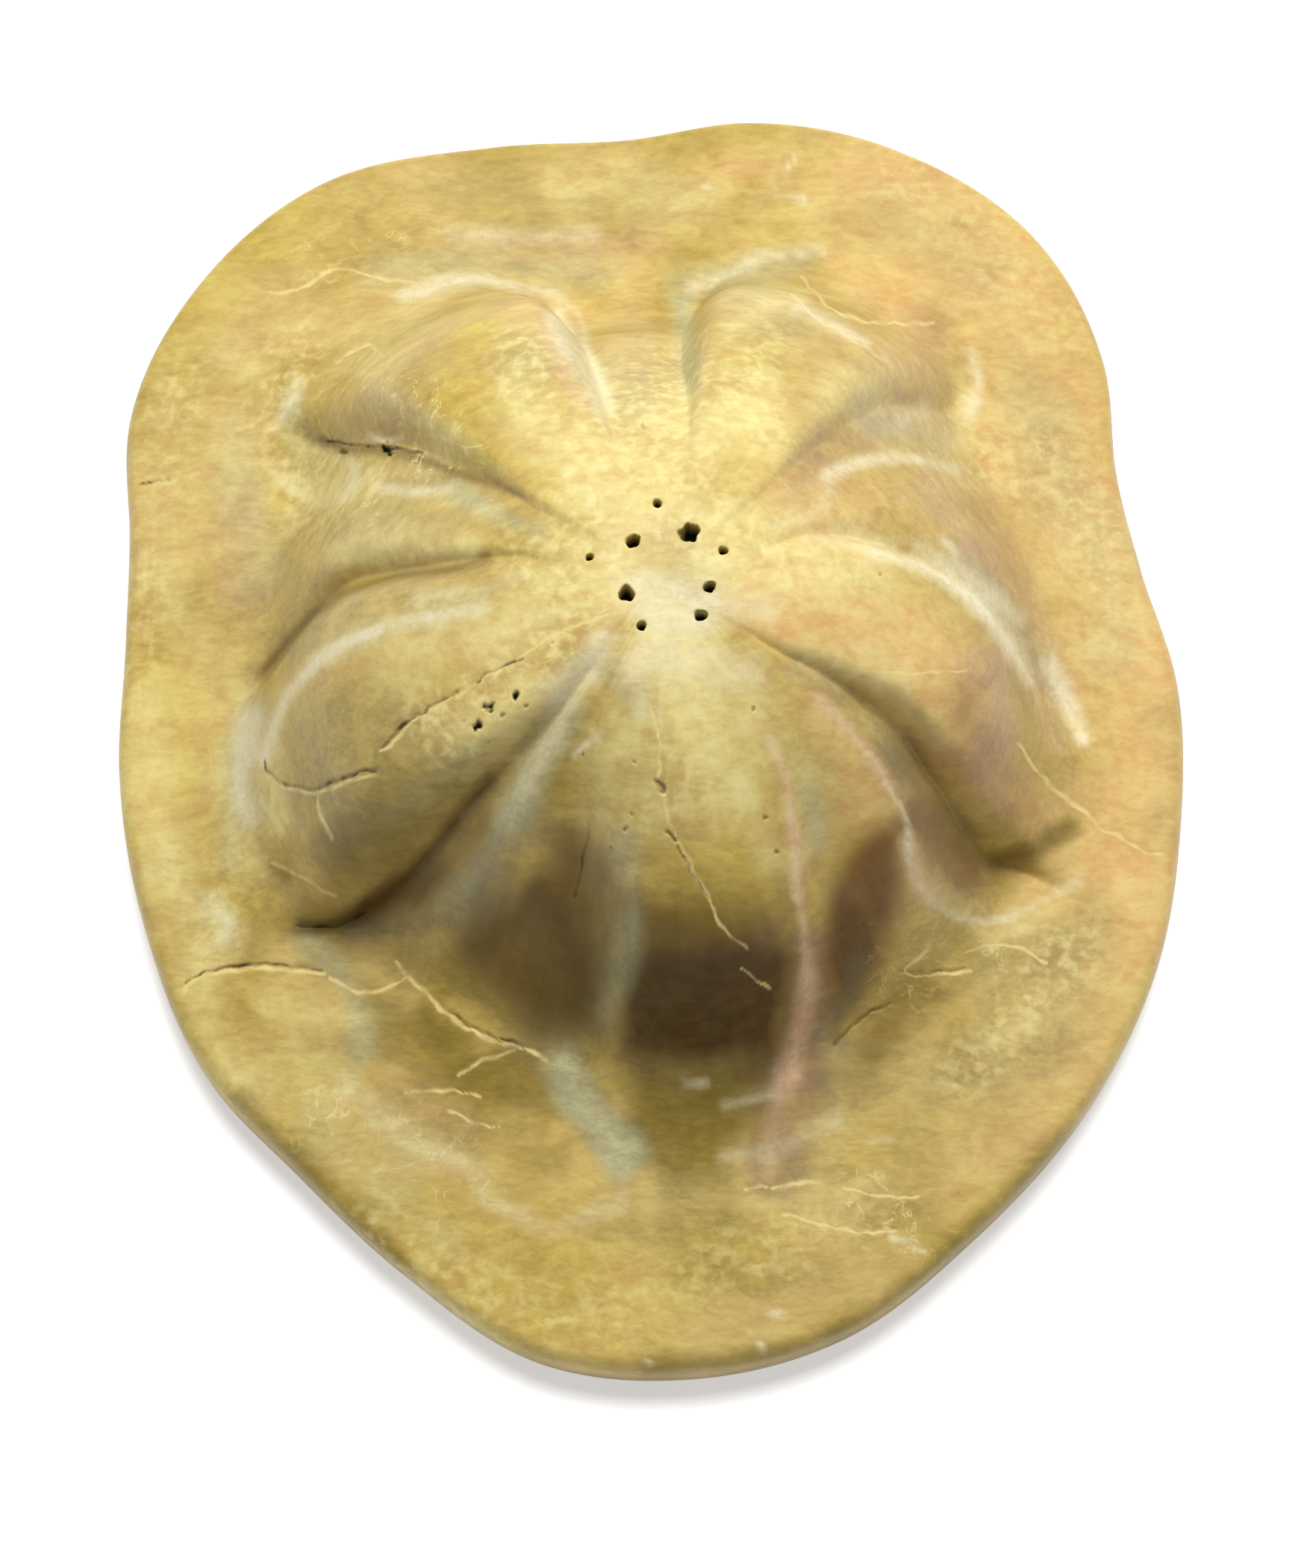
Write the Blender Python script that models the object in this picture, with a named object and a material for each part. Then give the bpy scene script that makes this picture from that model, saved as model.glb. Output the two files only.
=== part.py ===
"""Fossil sea urchin: the shell of a sea biscuit, turned to stone and polished, lying on its mouth side.

It is one solid. A tall dome with five swollen petals, and five lower ridges between them, stands on a
wide, thin brim whose edge is a rounded pentagon. +Z is up, the front petal points towards -Y, and the
origin is at the middle of the foot of the bounding box. Places on the shell are polar: a radius in
millimetres and an angle in degrees about the apex, counter-clockwise from +X as seen from above.
"""

import math
from typing import NamedTuple

import bmesh
import bpy
import numpy as np
from mathutils import Matrix, Vector, noise

MM = 0.001


class Furrow(NamedTuple):
    """A furrow beside a petal, and its angle at each radius from the apex outwards."""

    depth: float
    floor_width: float
    start_share: float
    path: list


class Lobe(NamedTuple):
    """A petal or a ridge between two furrows.

    The crest lies below the dome by its drop, and leans towards the next furrow by a share of half the
    lobe's width. A greater fullness gives a broader crest and steeper flanks.
    """

    angle: float
    reach: float
    drop: float
    lean: float
    fullness: float
    columns: int


class Pore(NamedTuple):
    """A pore beside the apex, with its radius at the mouth."""

    angle: float
    distance: float
    radius: float


# Driving dimensions, in millimetres.
APEX = (1.0, 0.8)
HEIGHT = 54.0
BRIM_THICKNESS = 8.2
BRIM_RISE = 11.0
EDGE_ROUNDING = 2.2
EDGE_SQUARENESS = 0.7
EDGE_MIDDLE = 4.4
APEX_DIP = 0.5
APEX_DIP_RADIUS = 6.0

# The edge of the brim, seen from above: angle and radius.
OUTLINE = [
    (4, 54.0), (18, 53.0), (30, 55.5), (40, 61.5), (52, 66.5), (68, 68.5), (82, 67.5),
    (93, 65.0), (106, 66.5), (122, 70.0), (138, 68.5), (150, 65.0), (160, 59.5), (172, 56.5),
    (186, 56.5), (202, 57.5), (220, 59.8), (232, 60.3), (246, 63.5), (260, 68.0), (272, 68.5),
    (286, 67.0), (300, 63.0), (316, 60.0), (332, 57.5), (348, 55.0),
]

# The furrows, counter-clockwise from the far side of the right petal.
FURROWS = [
    Furrow(7.6, 4.0, 0.0, [
        (6, 12), (15, 21), (22, 18.5), (29, 13), (35, 5.5), (39, 0), (43, -4), (50, -5), (58, -5)]),
    Furrow(4.2, 3.4, 0.05, [
        (6, 40), (19, 45), (27, 47), (32, 47), (36, 46), (40, 45.5), (46, 46.5), (52, 48), (62, 46)]),
    Furrow(6.6, 3.0, 0.05, [
        (6, 76), (20, 83), (28, 86), (36, 86.5), (42, 85.5), (46, 83.5), (52, 81), (62, 82)]),
    Furrow(6.8, 3.0, 0.05, [
        (6, 112), (20, 105), (28, 104), (38, 103.5), (46, 105), (51, 108), (62, 108)]),
    Furrow(6.0, 1.6, 0.0, [
        (6, 150), (13, 149), (20, 144.5), (26, 143), (32, 142), (38, 142), (45, 142.5), (62, 145)]),
    Furrow(8.6, 3.4, 0.0, [
        (6, 178), (14, 168.5), (22, 168), (30, 166.5), (35, 170), (40, 175.5), (44, 180), (58, 182)]),
    Furrow(10.5, 2.4, 0.0, [
        (6, 234), (14, 232), (20, 227.5), (27, 223), (35, 220), (41, 216.5), (46, 214), (58, 217)]),
    Furrow(6.2, 4.0, 0.34, [
        (6, 250), (12, 246), (20, 250), (27, 256), (33, 259), (40, 258), (46, 260), (62, 259)]),
    Furrow(5.6, 3.6, 0.32, [
        (6, 316), (12, 313), (20, 308), (27, 303), (33, 296.5), (40, 291), (49, 287), (62, 296)]),
    Furrow(8.6, 3.2, 0.0, [
        (6, 324), (13, 328), (17, 332.5), (25, 335.5), (30, 333), (36, 331.5), (41, 334), (58, 334)]),
]

# The lobes, each after the furrow of the same place in the list: a ridge, then a petal, in turn.
LOBES = [
    Lobe(32, 44.0, 4.0, 0.0, 1.7, 9),
    Lobe(66, 50.5, 0.0, 0.0, 6.5, 14),
    Lobe(94, 44.5, 4.4, 0.0, 1.7, 9),
    Lobe(124, 52.0, 0.0, 0.1, 7.5, 14),
    Lobe(158, 45.5, 4.2, 0.3, 1.9, 9),
    Lobe(203, 46.5, 0.0, 0.1, 7.0, 14),
    Lobe(240, 40.0, 4.2, 0.1, 1.7, 9),
    Lobe(278, 43.5, 0.0, 0.0, 3.0, 14),
    Lobe(314, 42.0, 3.0, 0.35, 1.6, 9),
    Lobe(348, 44.5, 0.0, -0.1, 8.0, 14),
]

# Share of the dome's height, and of a furrow's depth, at each share of a lobe's reach.
DOME = [
    (0.0, 1.0), (0.1, 0.995), (0.2, 0.972), (0.3, 0.93), (0.4, 0.87), (0.5, 0.795), (0.6, 0.71),
    (0.7, 0.60), (0.74, 0.54), (0.8, 0.40), (0.86, 0.245), (0.91, 0.13), (0.95, 0.07), (1.0, 0.035),
    (1.06, 0.012), (1.14, 0.0), (1.6, 0.0),
]
FURROW_RUN = [
    (0.0, 0.0), (0.18, 0.0), (0.28, 0.06), (0.38, 0.2), (0.48, 0.42), (0.58, 0.7), (0.68, 0.92),
    (0.78, 1.0), (0.86, 0.84), (0.93, 0.46), (1.0, 0.14), (1.1, 0.0), (1.6, 0.0),
]
FURROW_FADE_IN = 0.3
FURROW_SOFTNESS = 0.07
FLOOR_SHARE_MAX = 0.5
OWN_REACH = 0.7
FOOT_SOFTNESS = 1.0

# The slow unevenness of a natural shell: its height, and its waves to the metre.
UNEVENNESS = 0.45
UNEVENNESS_WAVES = 55

PORES = [
    Pore(56, 4.8, 1.0), Pore(130, 4.2, 0.7), Pore(211, 3.8, 0.8), Pore(343, 4.7, 0.6),
    Pore(93, 7.0, 0.45), Pore(166, 7.0, 0.45), Pore(21, 6.3, 0.5), Pore(250, 5.4, 0.5),
    Pore(312, 5.6, 0.6),
]
PORE_DEPTH = 2.6
PORE_FOOT_TAPER = 0.55
PORE_TOP_TAPER = 1.4

# The mouth side: flat outside the dish, with five food grooves, the mouth and the vent.
DISH_SHARE = 0.60
DISH_DEPTH = 7.0
MOUTH_RADIUS = 4.2
MOUTH_THROAT = 0.7
MOUTH_DEPTH = 6.0
FOOD_GROOVE_DEPTH = 0.7
FOOD_GROOVE_WIDTH = 2.0
FOOD_GROOVE_END = 0.9
VENT_ANGLE = 95.0
VENT_INSET = 9.5
VENT_SIZE = (3.2, 4.4, 4.4)

# The mesh's rings: circles about the apex, shares of the way on to the edge, turns round the edge, and
# shares of the edge's radius on the way back to the mouth.
CIRCLES = [1.8, 4, 6.5, 9.5, 13, 16.5, 20, 23.5, 27, 30, 32.5, 35, 37.5, 40, 42.5, 45]
BRIM_SHARES = [0.12, 0.26, 0.44, 0.64, 0.84, 1.0]
EDGE_TURNS = [62, 32, 4, -26, -58, -90]
SOLE_SHARES = [0.76, 0.60, 0.50, 0.40, 0.30, 0.21, 0.13]
BRIM_RADIUS = 60.0
COLUMN_CROWDING = 0.25

COLOUR = (0.56, 0.40, 0.14, 1.0)
ROUGHNESS = 0.42


def hermite(xs, ys, slopes, x):
    """The cubic curve with these points and slopes, at x."""
    i = np.clip(np.searchsorted(xs, x, side="right") - 1, 0, len(xs) - 2)
    step = xs[i + 1] - xs[i]
    t = (x - xs[i]) / step
    return (
        (2 * t**3 - 3 * t**2 + 1) * ys[i]
        + (t**3 - 2 * t**2 + t) * step * slopes[i]
        + (3 * t**2 - 2 * t**3) * ys[i + 1]
        + (t**3 - t**2) * step * slopes[i + 1]
    )


def open_curve(points, x):
    """A smooth curve through points of (x, y), without overshooting them, at x."""
    xs, ys = np.array(points, float).T
    chords = np.diff(ys) / np.diff(xs)
    slopes = np.zeros(len(xs))
    before, after = chords[:-1], chords[1:]
    rising_or_falling = before * after > 0
    total = np.where(rising_or_falling, before + after, 1)
    slopes[1:-1] = np.where(rising_or_falling, 2 * before * after / total, 0)
    slopes[-1] = chords[-1]
    return hermite(xs, ys, slopes, np.clip(x, xs[0], xs[-1]))


def closed_curve(points, angle):
    """A smooth closed curve through points of (angle, y), at angle in degrees."""
    xs, ys = np.array(points, float).T
    xs = np.concatenate([xs[-2:] - 360, xs, xs[:2] + 360])
    ys = np.concatenate([ys[-2:], ys, ys[:2]])
    first = xs[1]
    return hermite(xs, ys, np.gradient(ys, xs), (angle - first) % 360 + first)


def edge_radius(angle):
    """Distance from the apex to the edge of the brim, seen from above."""
    return closed_curve(OUTLINE, angle)


def furrow_angles(radius):
    """The ten furrows' angles at each radius, and the first again a turn on, as rows of 11."""
    angles = [open_curve(furrow.path, radius) for furrow in FURROWS]
    return np.stack([*angles, angles[0] + 360], axis=-1)


def between(values, lobe, across):
    """Values of the furrows each side of a lobe, mixed by the place across it."""
    low = np.take_along_axis(values, lobe[..., None], -1)[..., 0]
    high = np.take_along_axis(values, lobe[..., None] + 1, -1)[..., 0]
    return low + (high - low) * (across + 1) / 2


def place_in_lobes(radius, angle):
    """For each point: its lobe, its place across it from -1 to 1, and half the lobe's width there."""
    bounds = furrow_angles(radius)
    turned = (angle - bounds[..., 0]) % 360 + bounds[..., 0]
    lobe = np.clip((turned[..., None] >= bounds[..., 1:]).sum(-1), 0, len(LOBES) - 1)
    low = between(bounds, lobe, -1)
    high = between(bounds, lobe, 1)
    half_width = np.maximum(radius * np.radians(high - low) / 2, 0.1)
    return lobe, 2 * (turned - low) / (high - low) - 1, half_width


def furrow_depths(share):
    """Depth of the ten furrows, and of the first again, at each share of a lobe's reach."""
    start = np.array([furrow.start_share for furrow in FURROWS])
    begun = np.clip((share[..., None] - start) / FURROW_FADE_IN, 0, 1)
    depths = np.array([furrow.depth for furrow in FURROWS]) * begun**2 * (3 - 2 * begun)
    depths *= open_curve(FURROW_RUN, share)[..., None]
    return np.concatenate([depths, depths[..., :1]], axis=-1)


def brim_height(radius, angle):
    """Height of the brim, as if it ran on under the dome."""
    inland = np.clip(1 - radius / (edge_radius(angle) - EDGE_ROUNDING), 0, 0.4)
    return BRIM_THICKNESS + BRIM_RISE * inland


def arch_across(lobe, across, half_width):
    """How far up from its furrows to its crest a lobe is: 0 on a furrow's floor and 1 on the crest."""
    widths = np.array([furrow.floor_width for furrow in FURROWS] + [FURROWS[0].floor_width])
    floor = between(np.broadcast_to(widths, (*lobe.shape, len(widths))), lobe, across) / 2 / half_width
    lean = np.array([lobe.lean for lobe in LOBES])[lobe]
    leaned = across - lean * (1 - across**2)
    inside = np.clip((1 - np.abs(leaned)) / (1 - np.minimum(floor, FLOOR_SHARE_MAX)), 0, 1)
    inside = np.sqrt(inside**2 + FURROW_SOFTNESS**2) - FURROW_SOFTNESS * (1 - inside)
    fullness = np.array([lobe.fullness for lobe in LOBES])[lobe]
    return 1 - (1 - np.minimum(inside, 1)) ** fullness


def top_height(radius, angle):
    """Height of the shell's upper side at a radius and an angle about the apex."""
    lobe, across, half_width = place_in_lobes(radius, angle)
    arch = arch_across(lobe, across, half_width)
    brim = brim_height(radius, angle)
    reach = closed_curve([(lobe.angle, lobe.reach) for lobe in LOBES], angle)
    own_reach = reach + OWN_REACH * (np.array([lobe.reach for lobe in LOBES])[lobe] - reach)
    share = radius / reach
    drop = np.array([lobe.drop for lobe in LOBES])[lobe] * open_curve(FURROW_RUN, share)
    valley = (HEIGHT - brim) * open_curve(DOME, share) - between(furrow_depths(share), lobe, across)
    crest = (HEIGHT - brim) * open_curve(DOME, radius / own_reach) - drop
    raised = valley + (crest - valley) * arch
    raised = (raised + np.sqrt(raised**2 + FOOT_SOFTNESS**2)) / 2
    return brim + raised - APEX_DIP * np.exp(-((radius / APEX_DIP_RADIUS) ** 2))


def sole_height(share, in_groove):
    """Height of the mouth side at a share of the edge's radius, in a food groove or out of it."""
    inward = np.clip(1 - share / DISH_SHARE, 0, 1)
    grooved = in_groove & (share < FOOD_GROOVE_END)
    return DISH_DEPTH * inward**2 * (3 - 2 * inward) + np.where(grooved, FOOD_GROOVE_DEPTH, 0.0)


def columns_at(radius):
    """The angles of the mesh's columns at one radius, closer together beside the furrows."""
    bounds = furrow_angles(np.array(float(radius)))
    angles = []
    for k, lobe in enumerate(LOBES):
        even = np.linspace(-1, 1, lobe.columns, endpoint=False)
        across = even * (1 + COLUMN_CROWDING * (1 - even**2))
        angles.extend(bounds[k] + (across + 1) / 2 * (bounds[k + 1] - bounds[k]))
    return np.array(angles)


def food_groove_columns():
    """True for the column that runs down the middle of each petal."""
    marks = []
    for k, lobe in enumerate(LOBES):
        marks.extend(k % 2 == 1 and i == lobe.columns // 2 for i in range(lobe.columns))
    return np.array(marks)


def drawn_to_grooves(angle, radius):
    """The columns' angles, with the two beside each food groove drawn in to its lips."""
    drawn = angle.copy()
    for i in np.flatnonzero(food_groove_columns()):
        lip = np.degrees(FOOD_GROOVE_WIDTH / 2 / radius[i])
        drawn[i - 1] = angle[i] - lip
        drawn[i + 1] = angle[i] + lip
    return drawn


def ring(radius, angle, height):
    """One ring of points, in metres."""
    x = APEX[0] + radius * np.cos(np.radians(angle))
    y = APEX[1] + radius * np.sin(np.radians(angle))
    return np.stack([x, y, height + np.zeros_like(x)], axis=-1) * MM


def top_ring(radius, angle):
    """One ring of points on the uneven upper side, in metres."""
    points = ring(radius, angle, top_height(radius, angle))
    for point in points:
        point[2] += UNEVENNESS * MM * noise.noise(Vector(point) * UNEVENNESS_WAVES)
    return points


def top_rings():
    """Rings of points from the apex to the shoulder of the brim's edge."""
    rings = []
    for radius in CIRCLES:
        angle = columns_at(radius)
        rings.append(top_ring(np.full_like(angle, radius), angle))
    for share in BRIM_SHARES:
        angle = columns_at(CIRCLES[-1] + share * (BRIM_RADIUS - CIRCLES[-1]))
        shoulder = edge_radius(angle) - EDGE_ROUNDING
        rings.append(top_ring(CIRCLES[-1] + share * (shoulder - CIRCLES[-1]), angle))
    return rings


def edge_rings(shoulder_heights):
    """Rings of points round the edge, from below the shoulder to the ground."""
    angle = columns_at(BRIM_RADIUS)
    centre = edge_radius(angle) - EDGE_ROUNDING
    rings = []
    for turn in np.radians(EDGE_TURNS):
        rise = shoulder_heights - EDGE_MIDDLE if turn > 0 else EDGE_MIDDLE
        out = centre + EDGE_ROUNDING * abs(math.cos(turn)) ** EDGE_SQUARENESS
        up = math.copysign(abs(math.sin(turn)) ** EDGE_SQUARENESS, turn)
        rings.append(ring(out, angle, EDGE_MIDDLE + rise * up))
    return rings


def sole_rings():
    """Rings of points on the mouth side, from the edge into the mouth."""
    angle = columns_at(BRIM_RADIUS)
    edge = edge_radius(angle)
    rings = []
    for share in SOLE_SHARES:
        drawn = drawn_to_grooves(angle, edge * share)
        rings.append(ring(edge_radius(drawn) * share, drawn, sole_height(share, food_groove_columns())))
    rings.append(ring(MOUTH_RADIUS, angle, DISH_DEPTH))
    rings.append(ring(MOUTH_RADIUS * MOUTH_THROAT, angle, DISH_DEPTH + MOUTH_DEPTH * MOUTH_THROAT))
    return rings


def build_shell(material):
    """The shell as one closed mesh object, before its pores are cut."""
    top = top_rings()
    points = [*top, *edge_rings(top[-1][:, 2] / MM), *sole_rings()]
    mesh = bmesh.new()
    rings = [[mesh.verts.new(point) for point in row] for row in points]
    centre = np.array(0.0)
    apex = mesh.verts.new(Vector((*APEX, top_height(centre, centre))) * MM)
    throat = mesh.verts.new(Vector((*APEX, DISH_DEPTH + MOUTH_DEPTH)) * MM)
    count = len(rings[0])
    for i in range(count):
        j = (i + 1) % count
        mesh.faces.new((apex, rings[0][i], rings[0][j]))
        mesh.faces.new((throat, rings[-1][j], rings[-1][i]))
        for inner, outer in zip(rings, rings[1:]):
            mesh.faces.new((inner[i], outer[i], outer[j], inner[j]))
    bmesh.ops.triangulate(mesh, faces=mesh.faces[:])
    shell = new_object(mesh, "urchin_shell")
    shell.data.materials.append(material)
    shell.data.shade_smooth()
    return shell


def new_object(mesh, name):
    """A linked object made from a bmesh, which is freed."""
    data = bpy.data.meshes.new(name)
    mesh.to_mesh(data)
    mesh.free()
    obj = bpy.data.objects.new(name, data)
    bpy.context.scene.collection.objects.link(obj)
    return obj


def add_pore(mesh, pore):
    """A tapered plug that reaches from a pore's foot to well above the shell."""
    place = np.array(pore.distance), np.array(float(pore.angle))
    middle = Vector(ring(*place, top_height(*place)))
    bmesh.ops.create_cone(
        mesh,
        cap_ends=True,
        segments=8,
        radius1=pore.radius * PORE_FOOT_TAPER * MM,
        radius2=pore.radius * PORE_TOP_TAPER * MM,
        depth=PORE_DEPTH * 2 * MM,
        matrix=Matrix.Translation(middle),
    )


def add_vent(mesh):
    """A rounded plug for the shallow oval vent under the rear edge."""
    angle = np.array(VENT_ANGLE)
    centre = ring(edge_radius(angle) - VENT_INSET, angle, 0.0)
    matrix = Matrix.LocRotScale(
        Vector(centre),
        Matrix.Rotation(math.radians(VENT_ANGLE), 3, "Z").to_quaternion(),
        Vector(VENT_SIZE) / 2 * MM,
    )
    bmesh.ops.create_icosphere(mesh, subdivisions=2, radius=1, matrix=matrix)


def build_plugs():
    """One cutter for the pores round the apex and for the vent."""
    mesh = bmesh.new()
    for pore in PORES:
        add_pore(mesh, pore)
    add_vent(mesh)
    plugs = new_object(mesh, "pore_plugs")
    plugs.hide_render = True
    plugs.display_type = "WIRE"
    return plugs


def stone_material():
    """Polished ochre stone."""
    material = bpy.data.materials.new("polished_ochre_stone")
    material.use_nodes = True
    surface = material.node_tree.nodes["Principled BSDF"]
    surface.inputs["Base Color"].default_value = COLOUR
    surface.inputs["Roughness"].default_value = ROUGHNESS
    surface.inputs["Metallic"].default_value = 0.0
    return material


def main():
    for obj in list(bpy.data.objects):
        bpy.data.objects.remove(obj)
    shell = build_shell(stone_material())
    pores = shell.modifiers.new("pores", "BOOLEAN")
    pores.operation = "DIFFERENCE"
    pores.solver = "EXACT"
    pores.object = build_plugs()


main()
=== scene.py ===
"""The look of a polished fossil sea urchin, a sea biscuit with five swollen petals on a wide brim.

The shell is one fine mesh. Its form is the height formula of the construction model, in millimetres and
in polar places about the apex. Colour markings and cracks are strokes and lines placed in the
pixels of the 1755 x 2100 photograph, and are carried to the surface through the camera.
"""

import logging
import math
from dataclasses import dataclass
from enum import Enum

import bpy
import numpy as np
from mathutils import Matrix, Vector, noise


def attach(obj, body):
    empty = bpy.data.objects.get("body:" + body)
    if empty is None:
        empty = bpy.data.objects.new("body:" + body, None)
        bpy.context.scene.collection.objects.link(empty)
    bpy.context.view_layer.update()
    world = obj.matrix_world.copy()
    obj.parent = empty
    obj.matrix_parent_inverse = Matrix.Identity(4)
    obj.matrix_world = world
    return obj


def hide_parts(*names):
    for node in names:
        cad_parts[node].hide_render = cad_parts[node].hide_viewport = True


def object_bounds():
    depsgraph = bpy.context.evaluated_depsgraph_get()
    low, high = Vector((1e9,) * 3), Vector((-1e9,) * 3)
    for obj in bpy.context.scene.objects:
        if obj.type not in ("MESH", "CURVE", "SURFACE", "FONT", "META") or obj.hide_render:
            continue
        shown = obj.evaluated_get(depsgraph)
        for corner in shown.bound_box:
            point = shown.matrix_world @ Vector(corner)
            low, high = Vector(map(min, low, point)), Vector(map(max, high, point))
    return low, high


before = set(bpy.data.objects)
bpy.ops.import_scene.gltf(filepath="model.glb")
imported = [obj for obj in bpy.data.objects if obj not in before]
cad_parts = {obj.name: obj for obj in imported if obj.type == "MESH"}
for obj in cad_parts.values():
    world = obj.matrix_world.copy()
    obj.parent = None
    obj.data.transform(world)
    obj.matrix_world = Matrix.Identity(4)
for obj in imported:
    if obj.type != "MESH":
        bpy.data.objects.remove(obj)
cad_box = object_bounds()

MM = 0.001
log = logging.getLogger("fossil_urchin")

# The seed keeps the small turns of the cracks the same in every run.
CRACK_SEED = 5
noise.seed_set(CRACK_SEED)


@dataclass(frozen=True)
class PhotoView:
    """The camera, at the photograph's viewing angle, and where it sees a point of the shell.

    Lengths are in millimetres and the photograph is 1755 x 2100 pixels.
    """

    width: int = 1755
    height: int = 2100
    elevation: float = 74.0
    distance: float = 480.0
    focus: float = 6240.0
    target: tuple[float, float, float] = (0.42, -6.8, 8.0)
    sensor: float = 36.0

    def back(self) -> np.ndarray:
        """The unit vector from the target to the camera."""
        tilt = math.radians(self.elevation)
        return np.array([0.0, -math.cos(tilt), math.sin(tilt)])

    def place(self) -> np.ndarray:
        """The camera's place in millimetres."""
        return np.array(self.target) + self.distance * self.back()

    def pixels(self, points: np.ndarray) -> np.ndarray:
        """Where the photograph shows points of the shell.

        Args:
            points: rows of x, y, z in millimetres.

        Returns:
            Rows of x, y in pixels from the picture's top left corner.
        """
        tilt = math.radians(self.elevation)
        up = np.array([0.0, math.sin(tilt), math.cos(tilt)])
        offset = points - self.place()
        depth = -offset @ self.back()
        across = self.width / 2 + self.focus * offset[:, 0] / depth
        down = self.height / 2 - self.focus * (offset @ up) / depth
        return np.stack([across, down], axis=-1)

    def build(self) -> bpy.types.Object:
        """Make the camera and look through it.

        Returns:
            The camera object.
        """
        camera = bpy.data.objects.new("camera", bpy.data.cameras.new("camera"))
        camera.data.sensor_width = self.sensor
        camera.data.lens = self.focus * self.sensor / self.height
        camera.location = self.place() * MM
        camera.rotation_euler = (math.radians(90 - self.elevation), 0, 0)
        bpy.context.scene.collection.objects.link(camera)
        bpy.context.scene.camera = camera
        return camera


def hermite(xs: np.ndarray, ys: np.ndarray, slopes: np.ndarray, x: np.ndarray) -> np.ndarray:
    """The cubic curve with given points and slopes.

    Args:
        xs: the points' places, rising.
        ys: the points' values.
        slopes: the curve's slope at each point.
        x: where to read the curve.

    Returns:
        The curve's values at x.
    """
    i = np.clip(np.searchsorted(xs, x, side="right") - 1, 0, len(xs) - 2)
    step = xs[i + 1] - xs[i]
    t = (x - xs[i]) / step
    return (
        (2 * t**3 - 3 * t**2 + 1) * ys[i]
        + (t**3 - 2 * t**2 + t) * step * slopes[i]
        + (3 * t**2 - 2 * t**3) * ys[i + 1]
        + (t**3 - t**2) * step * slopes[i + 1]
    )


def open_curve(points: list[tuple[float, float]], x: np.ndarray) -> np.ndarray:
    """A smooth curve through points, which it doesn't overshoot.

    Args:
        points: pairs of x and y, with x rising.
        x: where to read the curve; beyond its ends it stays level.

    Returns:
        The curve's values at x.
    """
    xs, ys = np.array(points, float).T
    chords = np.diff(ys) / np.diff(xs)
    before, after = chords[:-1], chords[1:]
    same_way = before * after > 0
    slopes = np.zeros(len(xs))
    slopes[1:-1] = np.where(same_way, 2 * before * after / np.where(same_way, before + after, 1), 0)
    slopes[-1] = chords[-1]
    return hermite(xs, ys, slopes, np.clip(x, xs[0], xs[-1]))


def closed_curve(points: list[tuple[float, float]], angle: np.ndarray) -> np.ndarray:
    """A smooth curve round a full turn.

    Args:
        points: pairs of angle in degrees and value, with the angle rising.
        angle: where to read the curve, in degrees.

    Returns:
        The curve's values at those angles.
    """
    xs, ys = np.array(points, float).T
    xs = np.concatenate([xs[-2:] - 360, xs, xs[:2] + 360])
    ys = np.concatenate([ys[-2:], ys, ys[:2]])
    return hermite(xs, ys, np.gradient(ys, xs), (angle - xs[1]) % 360 + xs[1])


def smooth_step(x: np.ndarray) -> np.ndarray:
    """0 below 0, 1 above 1 and a smooth rise between them."""
    t = np.clip(x, 0, 1)
    return t * t * (3 - 2 * t)


def band(x: np.ndarray, start: float, rise: float, end: float, fall: float) -> np.ndarray:
    """1 between two values and 0 beyond them, with smooth ends.

    Args:
        x: the values.
        start: where the band starts.
        rise: how far it takes to reach 1.
        end: where the band ends.
        fall: how far before that it leaves 1.

    Returns:
        Values from 0 to 1.
    """
    return smooth_step((x - start) / rise) * smooth_step((end - x) / fall)


def noise_at(points: np.ndarray, scale: float, level: float = 0.0) -> np.ndarray:
    """Smooth noise at points.

    Args:
        points: rows of x, y or of x, y, z.
        scale: waves to the unit of length.
        level: the third number of rows that have two.

    Returns:
        A value from -1 to 1 for each point.
    """
    return np.array([noise.noise(Vector((*point, level)[:3]) * scale) for point in points])


def column(rows: tuple[object, ...], name: str) -> np.ndarray:
    """One field of all rows of a table."""
    return np.array([getattr(row, name) for row in rows])


@dataclass(frozen=True)
class Furrow:
    """A furrow beside a petal: its depth, floor width, start, and its angle at each radius."""

    depth: float
    floor_width: float
    start_share: float
    path: tuple[tuple[float, float], ...]


@dataclass(frozen=True)
class Lobe:
    """A petal or a ridge: its middle angle, reach, crest drop, lean, fullness and mesh columns."""

    angle: float
    reach: float
    drop: float
    lean: float
    fullness: float
    columns: int


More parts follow.
